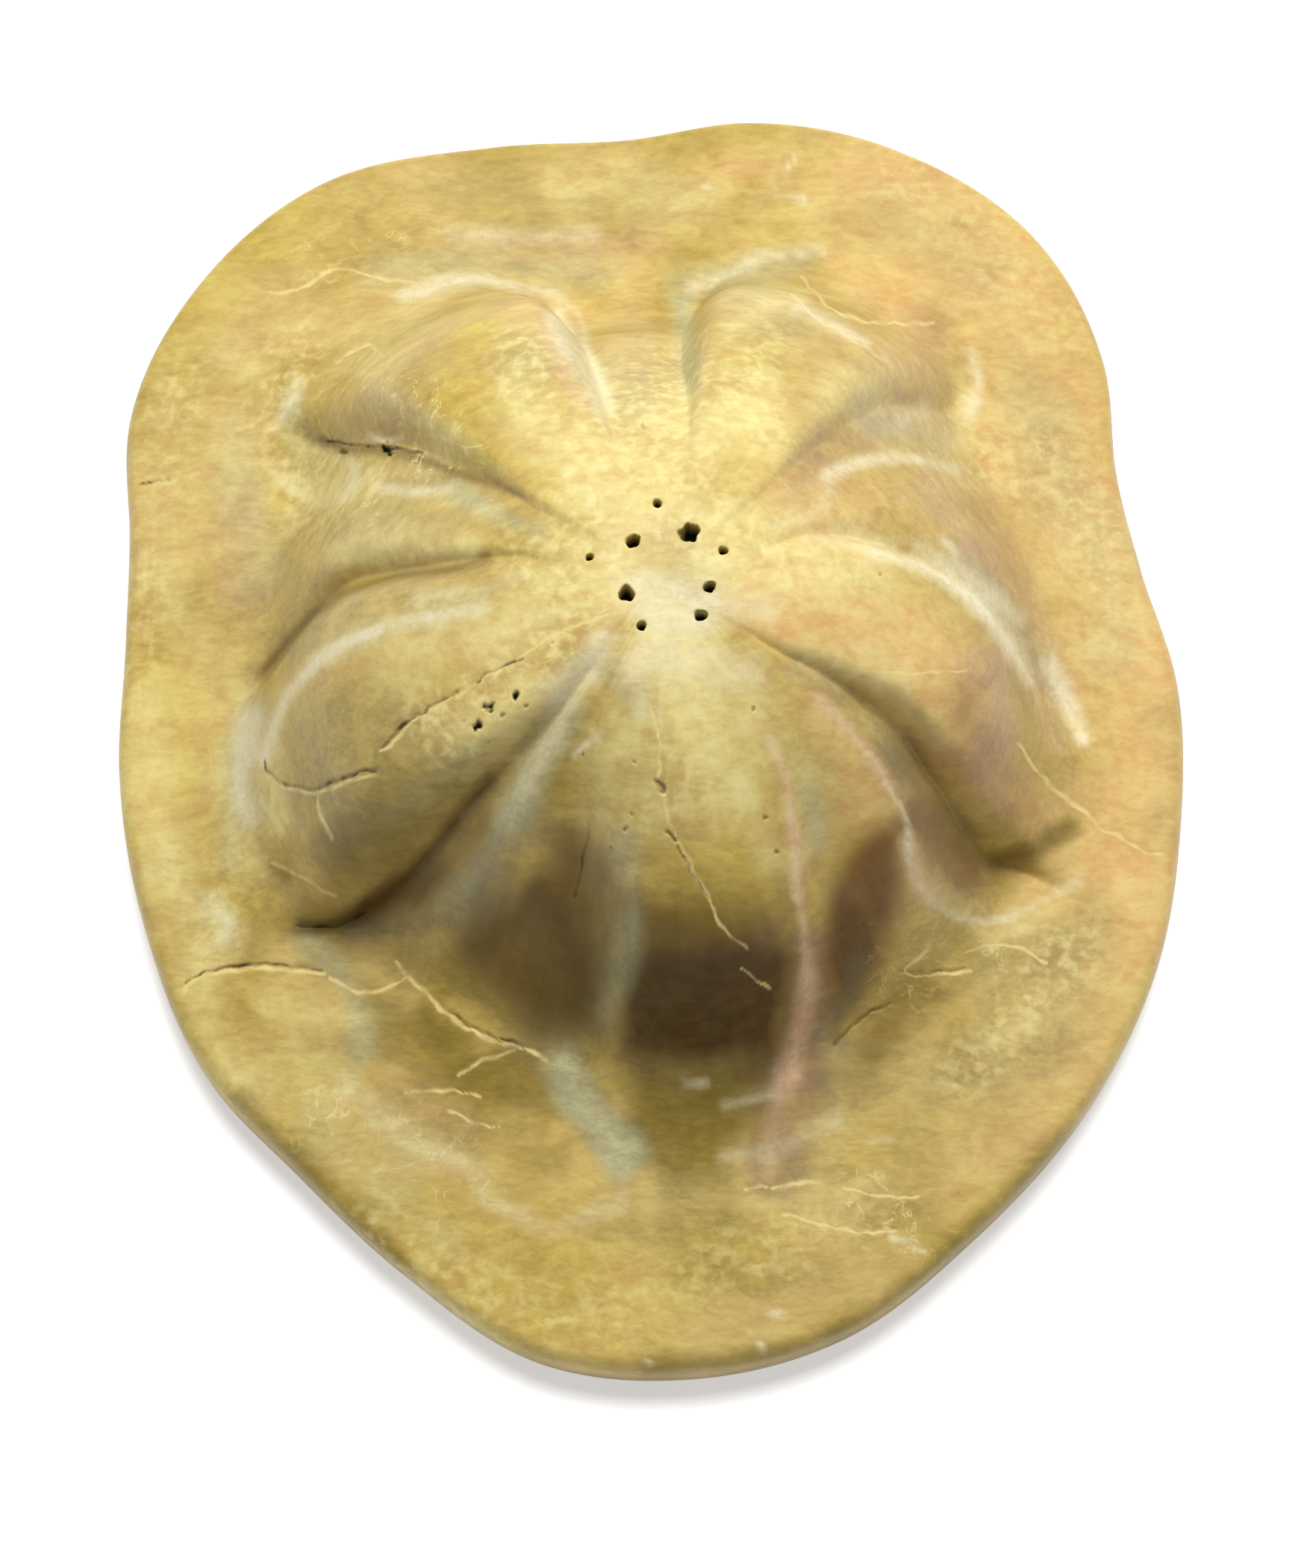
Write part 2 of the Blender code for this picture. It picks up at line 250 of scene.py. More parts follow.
FURROWS = (
    Furrow(7.6, 4.0, 0.0, (
        (6, 12), (15, 21), (22, 18.5), (29, 13), (35, 5.5), (39, 0), (43, -4), (50, -5), (58, -5))),
    Furrow(4.2, 3.4, 0.05, (
        (6, 40), (19, 45), (27, 47), (32, 47), (36, 46), (40, 45.5), (46, 46.5), (52, 48), (62, 46))),
    Furrow(6.6, 3.0, 0.05, (
        (6, 76), (20, 83), (28, 86), (36, 86.5), (42, 85.5), (46, 83.5), (52, 81), (62, 82))),
    Furrow(6.8, 3.0, 0.05, (
        (6, 112), (20, 105), (28, 104), (38, 103.5), (46, 105), (51, 108), (62, 108))),
    Furrow(6.0, 1.6, 0.0, (
        (6, 150), (13, 149), (20, 144.5), (26, 143), (32, 142), (38, 142), (45, 142.5), (62, 145))),
    Furrow(8.6, 3.4, 0.0, (
        (6, 178), (14, 168.5), (22, 168), (30, 166.5), (35, 170), (40, 175.5), (44, 180), (58, 182))),
    Furrow(10.5, 2.4, 0.0, (
        (6, 234), (14, 232), (20, 227.5), (27, 223), (35, 220), (41, 216.5), (46, 214), (58, 217))),
    Furrow(6.2, 4.0, 0.34, (
        (6, 250), (12, 246), (20, 250), (27, 256), (33, 259), (40, 258), (46, 260), (62, 259))),
    Furrow(5.6, 3.6, 0.32, (
        (6, 316), (12, 313), (20, 308), (27, 303), (33, 296.5), (40, 291), (49, 287), (62, 296))),
    Furrow(8.6, 3.2, 0.0, (
        (6, 324), (13, 328), (17, 332.5), (25, 335.5), (30, 333), (36, 331.5), (41, 334), (58, 334))),
)

PETAL_COLUMNS = 72
RIDGE_COLUMNS = 48
LOBES = (
    Lobe(32, 44.0, 4.0, 0.0, 1.7, RIDGE_COLUMNS),
    Lobe(66, 50.5, 0.0, 0.0, 6.5, PETAL_COLUMNS),
    Lobe(94, 44.5, 4.4, 0.0, 1.7, RIDGE_COLUMNS),
    Lobe(124, 52.0, 0.0, 0.1, 7.5, PETAL_COLUMNS),
    Lobe(158, 45.5, 4.2, 0.3, 1.9, RIDGE_COLUMNS),
    Lobe(203, 46.5, 0.0, 0.1, 7.0, PETAL_COLUMNS),
    Lobe(240, 40.0, 4.2, 0.1, 1.7, RIDGE_COLUMNS),
    Lobe(278, 43.5, 0.0, 0.0, 3.0, PETAL_COLUMNS),
    Lobe(314, 42.0, 3.0, 0.35, 1.6, RIDGE_COLUMNS),
    Lobe(348, 44.5, 0.0, -0.1, 8.0, PETAL_COLUMNS),
)

OUTLINE = (
    (4, 54.0), (18, 53.0), (30, 55.5), (40, 61.5), (52, 66.5), (68, 68.5), (82, 67.5),
    (93, 65.0), (106, 66.5), (122, 70.0), (138, 68.5), (150, 65.0), (160, 59.5), (172, 56.5),
    (186, 56.5), (202, 57.5), (220, 59.8), (232, 60.3), (246, 63.5), (260, 68.0), (272, 68.5),
    (286, 67.0), (300, 63.0), (316, 60.0), (332, 57.5), (348, 55.0),
)
DOME = (
    (0.0, 1.0), (0.1, 0.995), (0.2, 0.972), (0.3, 0.93), (0.4, 0.87), (0.5, 0.795), (0.6, 0.71),
    (0.7, 0.60), (0.74, 0.54), (0.8, 0.40), (0.86, 0.245), (0.91, 0.13), (0.95, 0.07), (1.0, 0.035),
    (1.06, 0.012), (1.14, 0.0), (1.6, 0.0),
)
FURROW_RUN = (
    (0.0, 0.0), (0.18, 0.0), (0.28, 0.06), (0.38, 0.2), (0.48, 0.42), (0.58, 0.7), (0.68, 0.92),
    (0.78, 1.0), (0.86, 0.84), (0.93, 0.46), (1.0, 0.14), (1.1, 0.0), (1.6, 0.0),
)


@dataclass(frozen=True)
class ShellForm:
    """The shell's form, in millimetres, in polar places about the apex."""

    apex: tuple[float, float] = (1.0, 0.8)
    height: float = 54.0
    brim_thickness: float = 8.2
    brim_rise: float = 11.0
    edge_rounding: float = 2.2
    edge_middle: float = 4.4
    apex_dip: float = 0.5
    apex_dip_radius: float = 6.0
    furrow_fade_in: float = 0.3
    furrow_softness: float = 0.12
    floor_share_max: float = 0.5
    own_reach: float = 0.7
    brim_rise_share: float = 0.4
    least_half_width: float = 0.1
    foot_softness: float = 1.0
    dish_share: float = 0.6
    dish_depth: float = 7.0

    def polar(self, points: np.ndarray) -> tuple[np.ndarray, np.ndarray]:
        """Radius and angle in degrees about the apex, for rows of x, y, z in millimetres."""
        x, y = points[:, 0] - self.apex[0], points[:, 1] - self.apex[1]
        return np.hypot(x, y), np.degrees(np.arctan2(y, x)) % 360

    def ring(self, radius: np.ndarray, angle: np.ndarray, height: np.ndarray) -> np.ndarray:
        """Points of the shell in millimetres.

        Args:
            radius: distances from the apex.
            angle: angles in degrees.
            height: heights.

        Returns:
            Rows of x, y, z.
        """
        x = self.apex[0] + radius * np.cos(np.radians(angle))
        y = self.apex[1] + radius * np.sin(np.radians(angle))
        return np.stack([x, y, height + np.zeros_like(x)], axis=-1)

    def edge_radius(self, angle: np.ndarray) -> np.ndarray:
        """Distance from the apex to the edge of the brim, seen from above."""
        return closed_curve(OUTLINE, angle)

    def furrow_angles(self, radius: np.ndarray) -> np.ndarray:
        """The ten furrows' angles at each radius, and the first again a turn on, as rows of 11."""
        angles = [open_curve(furrow.path, radius) for furrow in FURROWS]
        return np.stack([*angles, angles[0] + 360], axis=-1)

    def between(self, values: np.ndarray, lobe: np.ndarray, across: np.ndarray) -> np.ndarray:
        """Mix the values of the furrows each side of a lobe.

        Args:
            values: rows of 11 values, one for each furrow and the first again.
            lobe: each point's lobe.
            across: each point's place across its lobe, from -1 to 1.

        Returns:
            One value for each point.
        """
        low = np.take_along_axis(values, lobe[..., None], -1)[..., 0]
        high = np.take_along_axis(values, lobe[..., None] + 1, -1)[..., 0]
        return low + (high - low) * (across + 1) / 2

    def place_in_lobes(self, radius: np.ndarray, angle: np.ndarray) -> tuple[np.ndarray, ...]:
        """Where points lie among the lobes.

        Args:
            radius: distance from the apex.
            angle: angle in degrees.

        Returns:
            Each point's lobe, its place across it from -1 to 1, and half the lobe's width there.
        """
        bounds = self.furrow_angles(radius)
        turned = (angle - bounds[..., 0]) % 360 + bounds[..., 0]
        lobe = np.clip((turned[..., None] >= bounds[..., 1:]).sum(-1), 0, len(LOBES) - 1)
        low = self.between(bounds, lobe, np.full_like(turned, -1))
        high = self.between(bounds, lobe, np.full_like(turned, 1))
        half_width = np.maximum(radius * np.radians(high - low) / 2, self.least_half_width)
        return lobe, 2 * (turned - low) / (high - low) - 1, half_width

    def furrow_depths(self, share: np.ndarray) -> np.ndarray:
        """Depth of the furrows along their run.

        Args:
            share: shares of a lobe's reach.

        Returns:
            Rows of 11 depths, one for each furrow and the first again.
        """
        start = column(FURROWS, "start_share")
        begun = smooth_step((share[..., None] - start) / self.furrow_fade_in)
        depths = column(FURROWS, "depth") * begun
        depths *= open_curve(FURROW_RUN, share)[..., None]
        return np.concatenate([depths, depths[..., :1]], axis=-1)

    def brim_height(self, radius: np.ndarray, angle: np.ndarray) -> np.ndarray:
        """Height of the brim, as if it ran on under the dome."""
        inland = np.clip(1 - radius / (self.edge_radius(angle) - self.edge_rounding), 0, self.brim_rise_share)
        return self.brim_thickness + self.brim_rise * inland

    def arch_across(self, lobe: np.ndarray, across: np.ndarray, half_width: np.ndarray) -> np.ndarray:
        """How far up a lobe's flank a point is.

        Args:
            lobe: each point's lobe.
            across: each point's place across its lobe, from -1 to 1.
            half_width: half the lobe's width there.

        Returns:
            0 on a furrow's floor and 1 on the crest.
        """
        widths = column((*FURROWS, FURROWS[0]), "floor_width")
        floor = self.between(np.broadcast_to(widths, (*lobe.shape, len(widths))), lobe, across)
        floor = np.minimum(floor / 2 / half_width, self.floor_share_max)
        lean = column(LOBES, "lean")[lobe]
        inside = np.clip((1 - np.abs(across - lean * (1 - across**2))) / (1 - floor), 0, 1)
        inside = np.sqrt(inside**2 + self.furrow_softness**2) - self.furrow_softness * (1 - inside)
        fullness = column(LOBES, "fullness")[lobe]
        return 1 - (1 - np.minimum(inside, 1)) ** fullness

    def top_height(self, radius: np.ndarray, angle: np.ndarray) -> np.ndarray:
        """Height of the shell's upper side.

        Args:
            radius: distances from the apex.
            angle: angles in degrees.

        Returns:
            One height for each place.
        """
        lobe, across, half_width = self.place_in_lobes(radius, angle)
        arch = self.arch_across(lobe, across, half_width)
        brim = self.brim_height(radius, angle)
        reach = closed_curve([(lobe.angle, lobe.reach) for lobe in LOBES], angle)
        own_reach = reach + self.own_reach * (column(LOBES, "reach")[lobe] - reach)
        share = radius / reach
        depth = self.between(self.furrow_depths(share), lobe, across)
        drop = column(LOBES, "drop")[lobe] * open_curve(FURROW_RUN, share)
        valley = (self.height - brim) * open_curve(DOME, share) - depth
        crest = (self.height - brim) * open_curve(DOME, radius / own_reach) - drop
        raised = valley + (crest - valley) * arch
        raised = (raised + np.sqrt(raised**2 + self.foot_softness**2)) / 2
        return brim + raised - self.apex_dip * np.exp(-((radius / self.apex_dip_radius) ** 2))


@dataclass(frozen=True)
class Pore:
    """A pore beside the apex, with its angle, distance from the apex and radius at the mouth."""

    angle: float
    distance: float
    radius: float


PORES = (
    Pore(56, 4.8, 1.0), Pore(130, 4.2, 0.7), Pore(211, 3.8, 0.8), Pore(343, 4.7, 0.6),
    Pore(93, 7.0, 0.45), Pore(166, 7.0, 0.45), Pore(21, 6.3, 0.5), Pore(250, 5.4, 0.5),
    Pore(312, 5.6, 0.6),
)


class Pigment(Enum):
    """A colour laid on the stone, with its red, green and blue from 0 to 255; the browns, olive, mauve, grey
    and sand also serve as painted shade, the pale and rose ones also as painted highlights.
    """

    GOLD = (208, 180, 84)
    PEACH = (234, 194, 126)
    # sand tone, in one place painted shade
    SAND_AND_SHADE = (176, 156, 96)
    BUTTER = (238, 222, 150)
    # olive, also used as painted shade
    OLIVE_AND_SHADE = (134, 114, 46)
    # mauve, also used as painted shade
    MAUVE_AND_SHADE = (184, 150, 118)
    # brown, also used as painted shade
    UMBER_AND_SHADE = (122, 97, 46)
    # red brown, also used as painted shade
    RUSSET_AND_SHADE = (118, 80, 38)
    # dark brown, also used as painted shade
    BISTRE_AND_SHADE = (84, 58, 10)
    # grey, used as painted shade
    GREY_SHADE = (134, 128, 98)
    # rose, also used as painted highlight
    ROSE_AND_HIGHLIGHT = (240, 204, 164)
    MIST = (190, 188, 144)
    # pale, also used as painted highlights and glints
    PALE_AND_HIGHLIGHT = (242, 232, 192)
    FLECK = (242, 226, 156)
    VEIN = (240, 222, 160)


@dataclass(frozen=True)
class Stroke:
    """A soft mark in the photograph's pixels, a line of some half width or a filled outline."""

    half_width: float
    blur: float
    strength: float
    points: tuple[tuple[float, float], ...]
    filled: bool = False


class Fill(Enum):
    """What a crack holds: pale crystal or shadow."""

    CREAM = "cream_crack"
    DARK = "dark_crack"


@dataclass(frozen=True)
class Crack:
    """A fine crack in the photograph's pixels, with its half width there and its depth in millimetres."""

    fill: Fill
    half_width: float
    depth: float
    points: tuple[tuple[float, float], ...]


@dataclass(frozen=True)
class Pit:
    """A small dark pit in the photograph's pixels, with its half width there and depth in millimetres."""

    place: tuple[float, float]
    half_width: float
    depth: float


# Each row is a stroke: half width, blur, strength, points, and True where they bound an area.
# Many strokes paint shade or light into the colour: the browns, olive, mauve, grey and sand darken furrows,
# flanks that face away from the lamp, the front wall and the ground before it; pale and rose strokes light
# the ridge crests, and a few pale dots are painted glints.
STROKES = {
    Pigment.GOLD: (
        (26, 34, 0.5, ((190, 900), (178, 1010), (190, 1120))), (30, 45, 0.5, ((235, 930), (230, 1060))),
        (26, 40, 0.45, ((215, 480), (290, 370), (400, 290))),
        (34, 34, 0.75, ((590, 560), (630, 530), (640, 450))),
        (22, 26, 0.6, ((660, 600), (720, 640), (750, 680))),
        (34, 40, 0.5, ((960, 980), (980, 1080), (1000, 1160))),
        (30, 50, 0.6, ((760, 1640), (880, 1700), (1010, 1660))),
        (40, 50, 0.45, ((560, 1620), (700, 1760), (860, 1790))),
        (24, 34, 0.45, ((1150, 760), (1210, 800), (1230, 850))),
        (40, 50, 0.55, ((760, 1700), (860, 1720), (960, 1700))), (30, 30, 0.4, ((1010, 560), (1000, 620))),
        (34, 36, 0.6, ((930, 970), (965, 1010), (1010, 1050))),
        (26, 34, 0.5, ((480, 1010), (470, 960), (540, 930), (600, 900))),
        (20, 30, 0.5, ((980, 1130), (1000, 1200), (960, 1220))), (24, 30, 0.4, ((1330, 290), (1400, 360))),
        (16, 24, 0.5, ((1240, 500), (1160, 470))),
    ),
    Pigment.PEACH: (
        (10, 110, 0.75, (
            (1180, 180), (1400, 300), (1640, 800), (1660, 1150), (1540, 1300), (1420, 1420), (1380, 1240),
            (1430, 1120), (1480, 960), (1400, 800), (1290, 690), (1280, 480), (1180, 330)), True),
        (26, 40, 0.5, ((930, 225), (1060, 215), (1160, 240))), (24, 34, 0.5, ((840, 400), (850, 470))),
        (40, 50, 0.7, ((1100, 520), (1200, 500))), (60, 50, 0.9, ((1150, 830), (1240, 880), (1290, 970))),
        (36, 40, 0.75, ((1100, 870), (1010, 800), (1080, 760))),
        (30, 34, 0.85, ((1310, 1040), (1370, 1080))),
        (40, 40, 0.5, ((1040, 650), (1130, 690), (1220, 670))), (20, 30, 0.45, ((700, 420), (760, 500))),
        (26, 34, 0.5, ((1130, 370), (1200, 400))),
        (30, 45, 0.5, ((1260, 1580), (1380, 1500), (1440, 1420))),
        (26, 30, 0.8, ((1100, 950), (1150, 1040), (1165, 1090))), (26, 40, 0.4, ((760, 330), (860, 350))),
    ),
    Pigment.SAND_AND_SHADE: (
        (4, 36, 0.8, (
            (400, 945), (480, 915), (560, 920), (590, 960), (540, 1040), (520, 1130), (450, 1150),
            (370, 1060)), True),
        # painted shade on the flank above the left petal's upper furrow
        (26, 40, 0.6, ((350, 880), (390, 800), (450, 740))),
        (26, 40, 0.45, ((225, 1160), (280, 1260), (350, 1270))),
        (30, 34, 0.4, ((430, 700), (520, 700), (600, 705))),
        (34, 40, 0.5, ((600, 260), (760, 290), (900, 260))),
        (30, 40, 0.35, ((840, 960), (870, 1060), (880, 1140))),
        (30, 40, 0.3, ((760, 930), (780, 1010), (800, 1080))),
        (26, 34, 0.5, ((560, 1560), (480, 1450), (420, 1390))),
        (30, 40, 0.5, ((1180, 1420), (1140, 1500), (1060, 1580))),
        (26, 34, 0.4, ((1330, 1340), (1250, 1300))), (36, 44, 0.5, ((1180, 290), (1260, 310), (1310, 360))),
        (30, 34, 0.45, ((1100, 520), (1170, 490))), (24, 30, 0.45, ((850, 430), (860, 500))),
        (34, 44, 0.4, ((1240, 1560), (1320, 1500), (1400, 1430))),
        (30, 34, 0.4, ((1040, 1500), (1100, 1480), (1180, 1400))),
        (24, 30, 0.3, ((1230, 670), (1290, 690))),
        (44, 44, 0.75, ((1300, 1290), (1390, 1280), (1440, 1250), (1400, 1400), (1300, 1400))),
        (34, 34, 0.8, ((700, 490), (740, 470), (790, 500), (840, 540))),
        (24, 26, 0.6, ((1010, 430), (1070, 430))), (24, 26, 0.6, ((470, 700), (530, 700))),
        (30, 30, 0.5, ((900, 740), (940, 780))), (24, 30, 0.5, ((800, 1640), (860, 1660))),
        (24, 30, 0.5, ((1120, 1620), (1190, 1590), (1250, 1450))),
        (30, 44, 0.4, ((1350, 460), (1400, 560), (1390, 680))),
        (24, 30, 0.4, ((1560, 950), (1575, 1040), (1560, 1120))),
        (20, 30, 0.45, ((180, 740), (220, 780), (300, 870), (300, 930))),
        (30, 34, 0.4, ((1190, 1420), (1250, 1430), (1320, 1420))),
    ),
    Pigment.BUTTER: (
        (90, 80, 0.55, ((900, 590), (850, 660), (800, 720))), (36, 40, 0.6, ((700, 540), (740, 610))),
        (34, 36, 0.5, ((1020, 510), (990, 600))), (46, 46, 0.55, ((970, 720), (1060, 740), (1180, 770))),
        (40, 44, 0.5, ((720, 800), (620, 850), (540, 870))),
        (50, 50, 0.85, ((920, 880), (945, 960), (965, 1040))), (30, 40, 0.5, ((800, 980), (820, 1080))),
        (24, 24, 0.75, ((700, 930), (640, 985), (590, 1040), (540, 1090))),
        (16, 24, 0.5, ((1000, 1060), (1030, 1150))), (12, 18, 0.6, ((980, 440), (1030, 405), (1070, 400))),
        (14, 20, 0.5, ((400, 690), (450, 665), (560, 640), (650, 680))),
        (12, 16, 0.6, ((1290, 500), (1290, 560), (1285, 600))), (20, 34, 0.35, ((200, 760), (250, 840))),
        (30, 40, 0.55, ((200, 950), (190, 1060), (230, 1180), (280, 1240))),
        (36, 44, 0.35, ((380, 1400), (450, 1480), (540, 1540))),
        (30, 40, 0.4, ((760, 250), (860, 250), (940, 270))), (24, 34, 0.35, ((480, 470), (560, 430))),
        (24, 30, 0.4, ((500, 710), (590, 700))),
        (20, 20, 0.9, ((460, 752), (500, 742), (560, 738), (620, 732))),
        (20, 24, 0.75, ((520, 540), (560, 570), (590, 590))),
        (20, 24, 0.6, ((450, 590), (480, 560), (520, 560))),
        (18, 20, 0.6, ((420, 650), (470, 640), (500, 636))),
        (18, 18, 0.8, ((352, 1010), (358, 1050), (372, 1100))), (20, 24, 0.5, ((300, 470), (330, 500))),
        (20, 24, 0.4, ((1280, 640), (1310, 650))),
        (26, 30, 0.5, ((1070, 570), (1120, 530), (1190, 500), (1240, 520))),
        (24, 26, 0.6, ((300, 1030), (310, 1090), (330, 1150))),
        (26, 34, 0.45, ((260, 1310), (290, 1400), (340, 1470))),
        (30, 34, 0.5, ((850, 960), (860, 1040), (880, 1080))),
        (26, 30, 0.5, ((1010, 960), (1040, 1010), (1080, 1040))),
        (24, 26, 0.6, ((1080, 880), (1150, 890), (1210, 940), (1240, 985))),
        (20, 24, 0.5, ((690, 1000), (740, 960), (780, 920))), (12, 20, 0.5, ((1330, 1400), (1380, 1370))),
        (14, 24, 0.4, ((480, 1690), (560, 1720), (660, 1790))),
        (16, 20, 0.4, ((420, 620), (500, 500), (450, 490))),
        (14, 20, 0.5, ((1240, 1180), (1330, 1260), (1400, 1220))),
        (18, 30, 0.35, ((900, 1590), (1000, 1600), (1100, 1590))),
        (10, 16, 0.5, ((350, 1350), (520, 1360))),
    ),
    # Olive, and painted shade: above and below the front petal's wall, on the left petal's lower flank and on
    # the brim in front of the front petal.
    Pigment.OLIVE_AND_SHADE: (
        (10, 50, 0.75, ((860, 1215), (1030, 1215), (1040, 1290), (850, 1290)), True),
        (4, 34, 0.8, (
            (850, 1420), (1030, 1420), (1000, 1500), (970, 1570), (900, 1580), (850, 1530)), True),
        (24, 34, 0.4, ((450, 1140), (540, 1110))),
        (4, 30, 0.55, (
            (500, 1030), (600, 1000), (650, 1010), (600, 1090), (530, 1180), (440, 1200), (430, 1130)),
            True),
        (70, 60, 0.5, ((920, 1540), (930, 1600), (940, 1660))), (30, 30, 0.4, ((960, 1570), (975, 1600))),
        (34, 34, 0.6, ((520, 1400), (580, 1450), (660, 1450), (700, 1400))),
        (24, 34, 0.4, ((580, 1500), (660, 1530), (740, 1560))),
        (20, 24, 0.6, ((500, 1340), (540, 1370), (620, 1390))),
        (30, 34, 0.4, ((760, 980), (750, 1060), (740, 1110))),
        (24, 26, 0.6, ((860, 1250), (900, 1250), (950, 1240))),
        (16, 16, 0.5, ((540, 1690), (480, 1620), (400, 1540))),
        (20, 20, 0.5, ((1430, 1530), (1350, 1610), (1250, 1700), (1120, 1790))),
        (18, 20, 0.5, ((880, 1830), (980, 1820), (1080, 1800))),
        (30, 34, 0.35, ((420, 1250), (470, 1300), (520, 1320))),
        (18, 26, 0.5, ((1160, 1400), (1220, 1350), (1260, 1330))),
        (10, 14, 0.7, ((1340, 1150), (1390, 1135), (1435, 1105))),
        (4, 30, 0.75, ((560, 1330), (640, 1405), (740, 1425), (740, 1480), (650, 1475), (560, 1410)), True),
        (20, 30, 0.4, ((540, 1290), (640, 1310))),
        (12, 24, 0.35, ((1000, 1730), (1120, 1690), (1240, 1610))),
        (12, 20, 0.5, ((470, 1670), (400, 1560), (330, 1480))),
    ),
    # Mauve tint, and in the first two strokes painted shade: on the lower flank of the upper right petal and
    # above the right petal's upper furrow.
    Pigment.MAUVE_AND_SHADE: (
        (28, 34, 0.5, ((1250, 440), (1245, 520), (1180, 565), (1110, 590))),
        (22, 30, 0.5, ((1310, 740), (1370, 830), (1410, 930))),
        (26, 34, 0.45, ((1240, 640), (1310, 680), (1340, 760))),
        (26, 26, 0.6, ((1320, 890), (1345, 950), (1320, 1020))),
        (30, 34, 0.5, ((1200, 1020), (1240, 1100), (1280, 1180))),
        (18, 20, 0.6, ((1090, 1290), (1095, 1360), (1080, 1440))), (30, 40, 0.4, ((330, 690), (320, 790))),
        (22, 30, 0.35, ((540, 1450), (620, 1510))), (24, 26, 0.3, ((620, 330), (740, 340), (860, 325))),
        (22, 26, 0.45, ((500, 540), (540, 560), (470, 570))), (20, 26, 0.45, ((1060, 660), (1090, 620))),
        (28, 16, 0.85, ((1084, 1270), (1078, 1350), (1064, 1430))),
        (34, 26, 0.6, ((1064, 1430), (1048, 1500), (1036, 1560))),
    ),
    # Brown, and painted shade: the dark flank left of the front petal, the furrow lines of the left and upper
    # left petals, lower flanks and the edges of the front wall.
    Pigment.UMBER_AND_SHADE: (
        (4, 40, 0.9, (
            (715, 1175), (770, 1130), (815, 1180), (820, 1260), (800, 1380), (720, 1385), (670, 1330),
            (620, 1260), (665, 1225)), True),
        (16, 26, 0.5, ((750, 1110), (765, 1150))),
        (22, 18, 0.6, ((1200, 1010), (1228, 1045), (1252, 1085), (1286, 1122))),
        (10, 14, 0.4, ((1330, 1150), (1372, 1144), (1425, 1112))),
        (16, 18, 0.5, ((1012, 1440), (1010, 1490), (1012, 1540))),
        (20, 24, 0.45, ((1110, 1420), (1150, 1400), (1180, 1380))),
        (22, 24, 0.7, ((650, 1110), (610, 1150), (570, 1200))),
        (16, 22, 0.7, ((838, 1215), (856, 1250), (862, 1290))),
        (10, 12, 0.4, ((520, 650), (575, 650), (620, 660))),
        (24, 34, 0.55, ((660, 1120), (640, 1180), (640, 1240))),
        (20, 26, 0.5, ((840, 1200), (870, 1240), (930, 1250))),
        (7, 8, 0.75, (
            (347, 908), (380, 864), (420, 824), (460, 795), (500, 780), (540, 770), (580, 765), (620, 760),
            (650, 748))),
        (5, 8, 0.75, (
            (430, 589), (460, 601), (500, 602), (540, 607), (580, 620), (620, 637), (660, 646), (700, 664))),
        (40, 26, 0.4, ((1070, 1440), (1056, 1500), (1040, 1560))),
        (30, 34, 0.35, ((1150, 1440), (1210, 1370), (1250, 1330))),
        (40, 40, 0.35, ((900, 1230), (960, 1220), (1010, 1230))), (6, 10, 0.6, ((365, 1160), (385, 1175))),
        (14, 40, 0.75, ((870, 1290), (950, 1255), (1040, 1240))),
    ),
    # Red brown, and painted shade along the lower furrow of the right petal.
    Pigment.RUSSET_AND_SHADE: (
        (2, 24, 0.9, (
            (1130, 1150), (1172, 1112), (1204, 1104), (1210, 1180), (1186, 1270), (1150, 1340),
            (1116, 1390), (1104, 1300), (1112, 1210)), True),
        (24, 20, 0.55, ((1232, 1090), (1258, 1130), (1290, 1160))),
        (30, 36, 0.45, ((1290, 950), (1320, 1010), (1350, 1080))),
        (20, 30, 0.5, ((1000, 1300), (1040, 1240))),
    ),
    # Dark brown, and painted shade: the steep wall at the end of the front petal, the flank to its left and
    # the lower furrow of the left petal.
    Pigment.BISTRE_AND_SHADE: (
        (2, 26, 0.97, (
            (840, 1300), (905, 1278), (960, 1268), (1052, 1262), (1066, 1290), (1058, 1350), (1040, 1412),
            (940, 1424), (836, 1408), (826, 1350)), True),
        (20, 34, 0.5, ((730, 1190), (760, 1250), (790, 1320))), (14, 26, 0.4, ((1150, 1230), (1130, 1300))),
        (14, 24, 0.45, ((640, 1270), (690, 1230), (720, 1190))), (8, 16, 0.3, ((1262, 1062), (1290, 1100))),
        (30, 24, 0.5, ((900, 1320), (960, 1350), (1010, 1330))),
        (9, 14, 0.9, (
            (405, 1240), (450, 1236), (505, 1210), (550, 1170), (590, 1125), (625, 1085), (655, 1045))),
        (18, 16, 0.6, ((500, 1225), (560, 1180), (610, 1110))),
        (4, 10, 0.5, ((655, 1048), (690, 1005), (715, 975))),
    ),
    # Painted grey shade in the furrows and on flanks that face away from the lamp.
    Pigment.GREY_SHADE: (
        (12, 18, 0.55, ((470, 1250), (560, 1240), (640, 1220))),
        (15, 18, 0.6, ((1155, 1290), (1130, 1345), (1100, 1390))),
        (14, 14, 0.5, ((1066, 890), (1112, 918), (1150, 954), (1190, 1000), (1226, 1040))),
        (34, 16, 0.6, ((764, 1425), (778, 1462), (804, 1506), (840, 1548))),
        (26, 30, 0.35, ((690, 1385), (740, 1400), (800, 1390))),
        (26, 24, 0.4, ((700, 1090), (670, 1140), (640, 1190))), (16, 20, 0.5, ((1130, 1400), (1110, 1440))),
        (10, 16, 0.5, ((390, 550), (420, 590))), (12, 16, 0.35, ((390, 870), (450, 815), (560, 790))),
        (16, 20, 0.45, ((690, 1080), (650, 1150), (600, 1210))),
        (16, 24, 0.4, ((760, 900), (800, 880), (840, 930))),
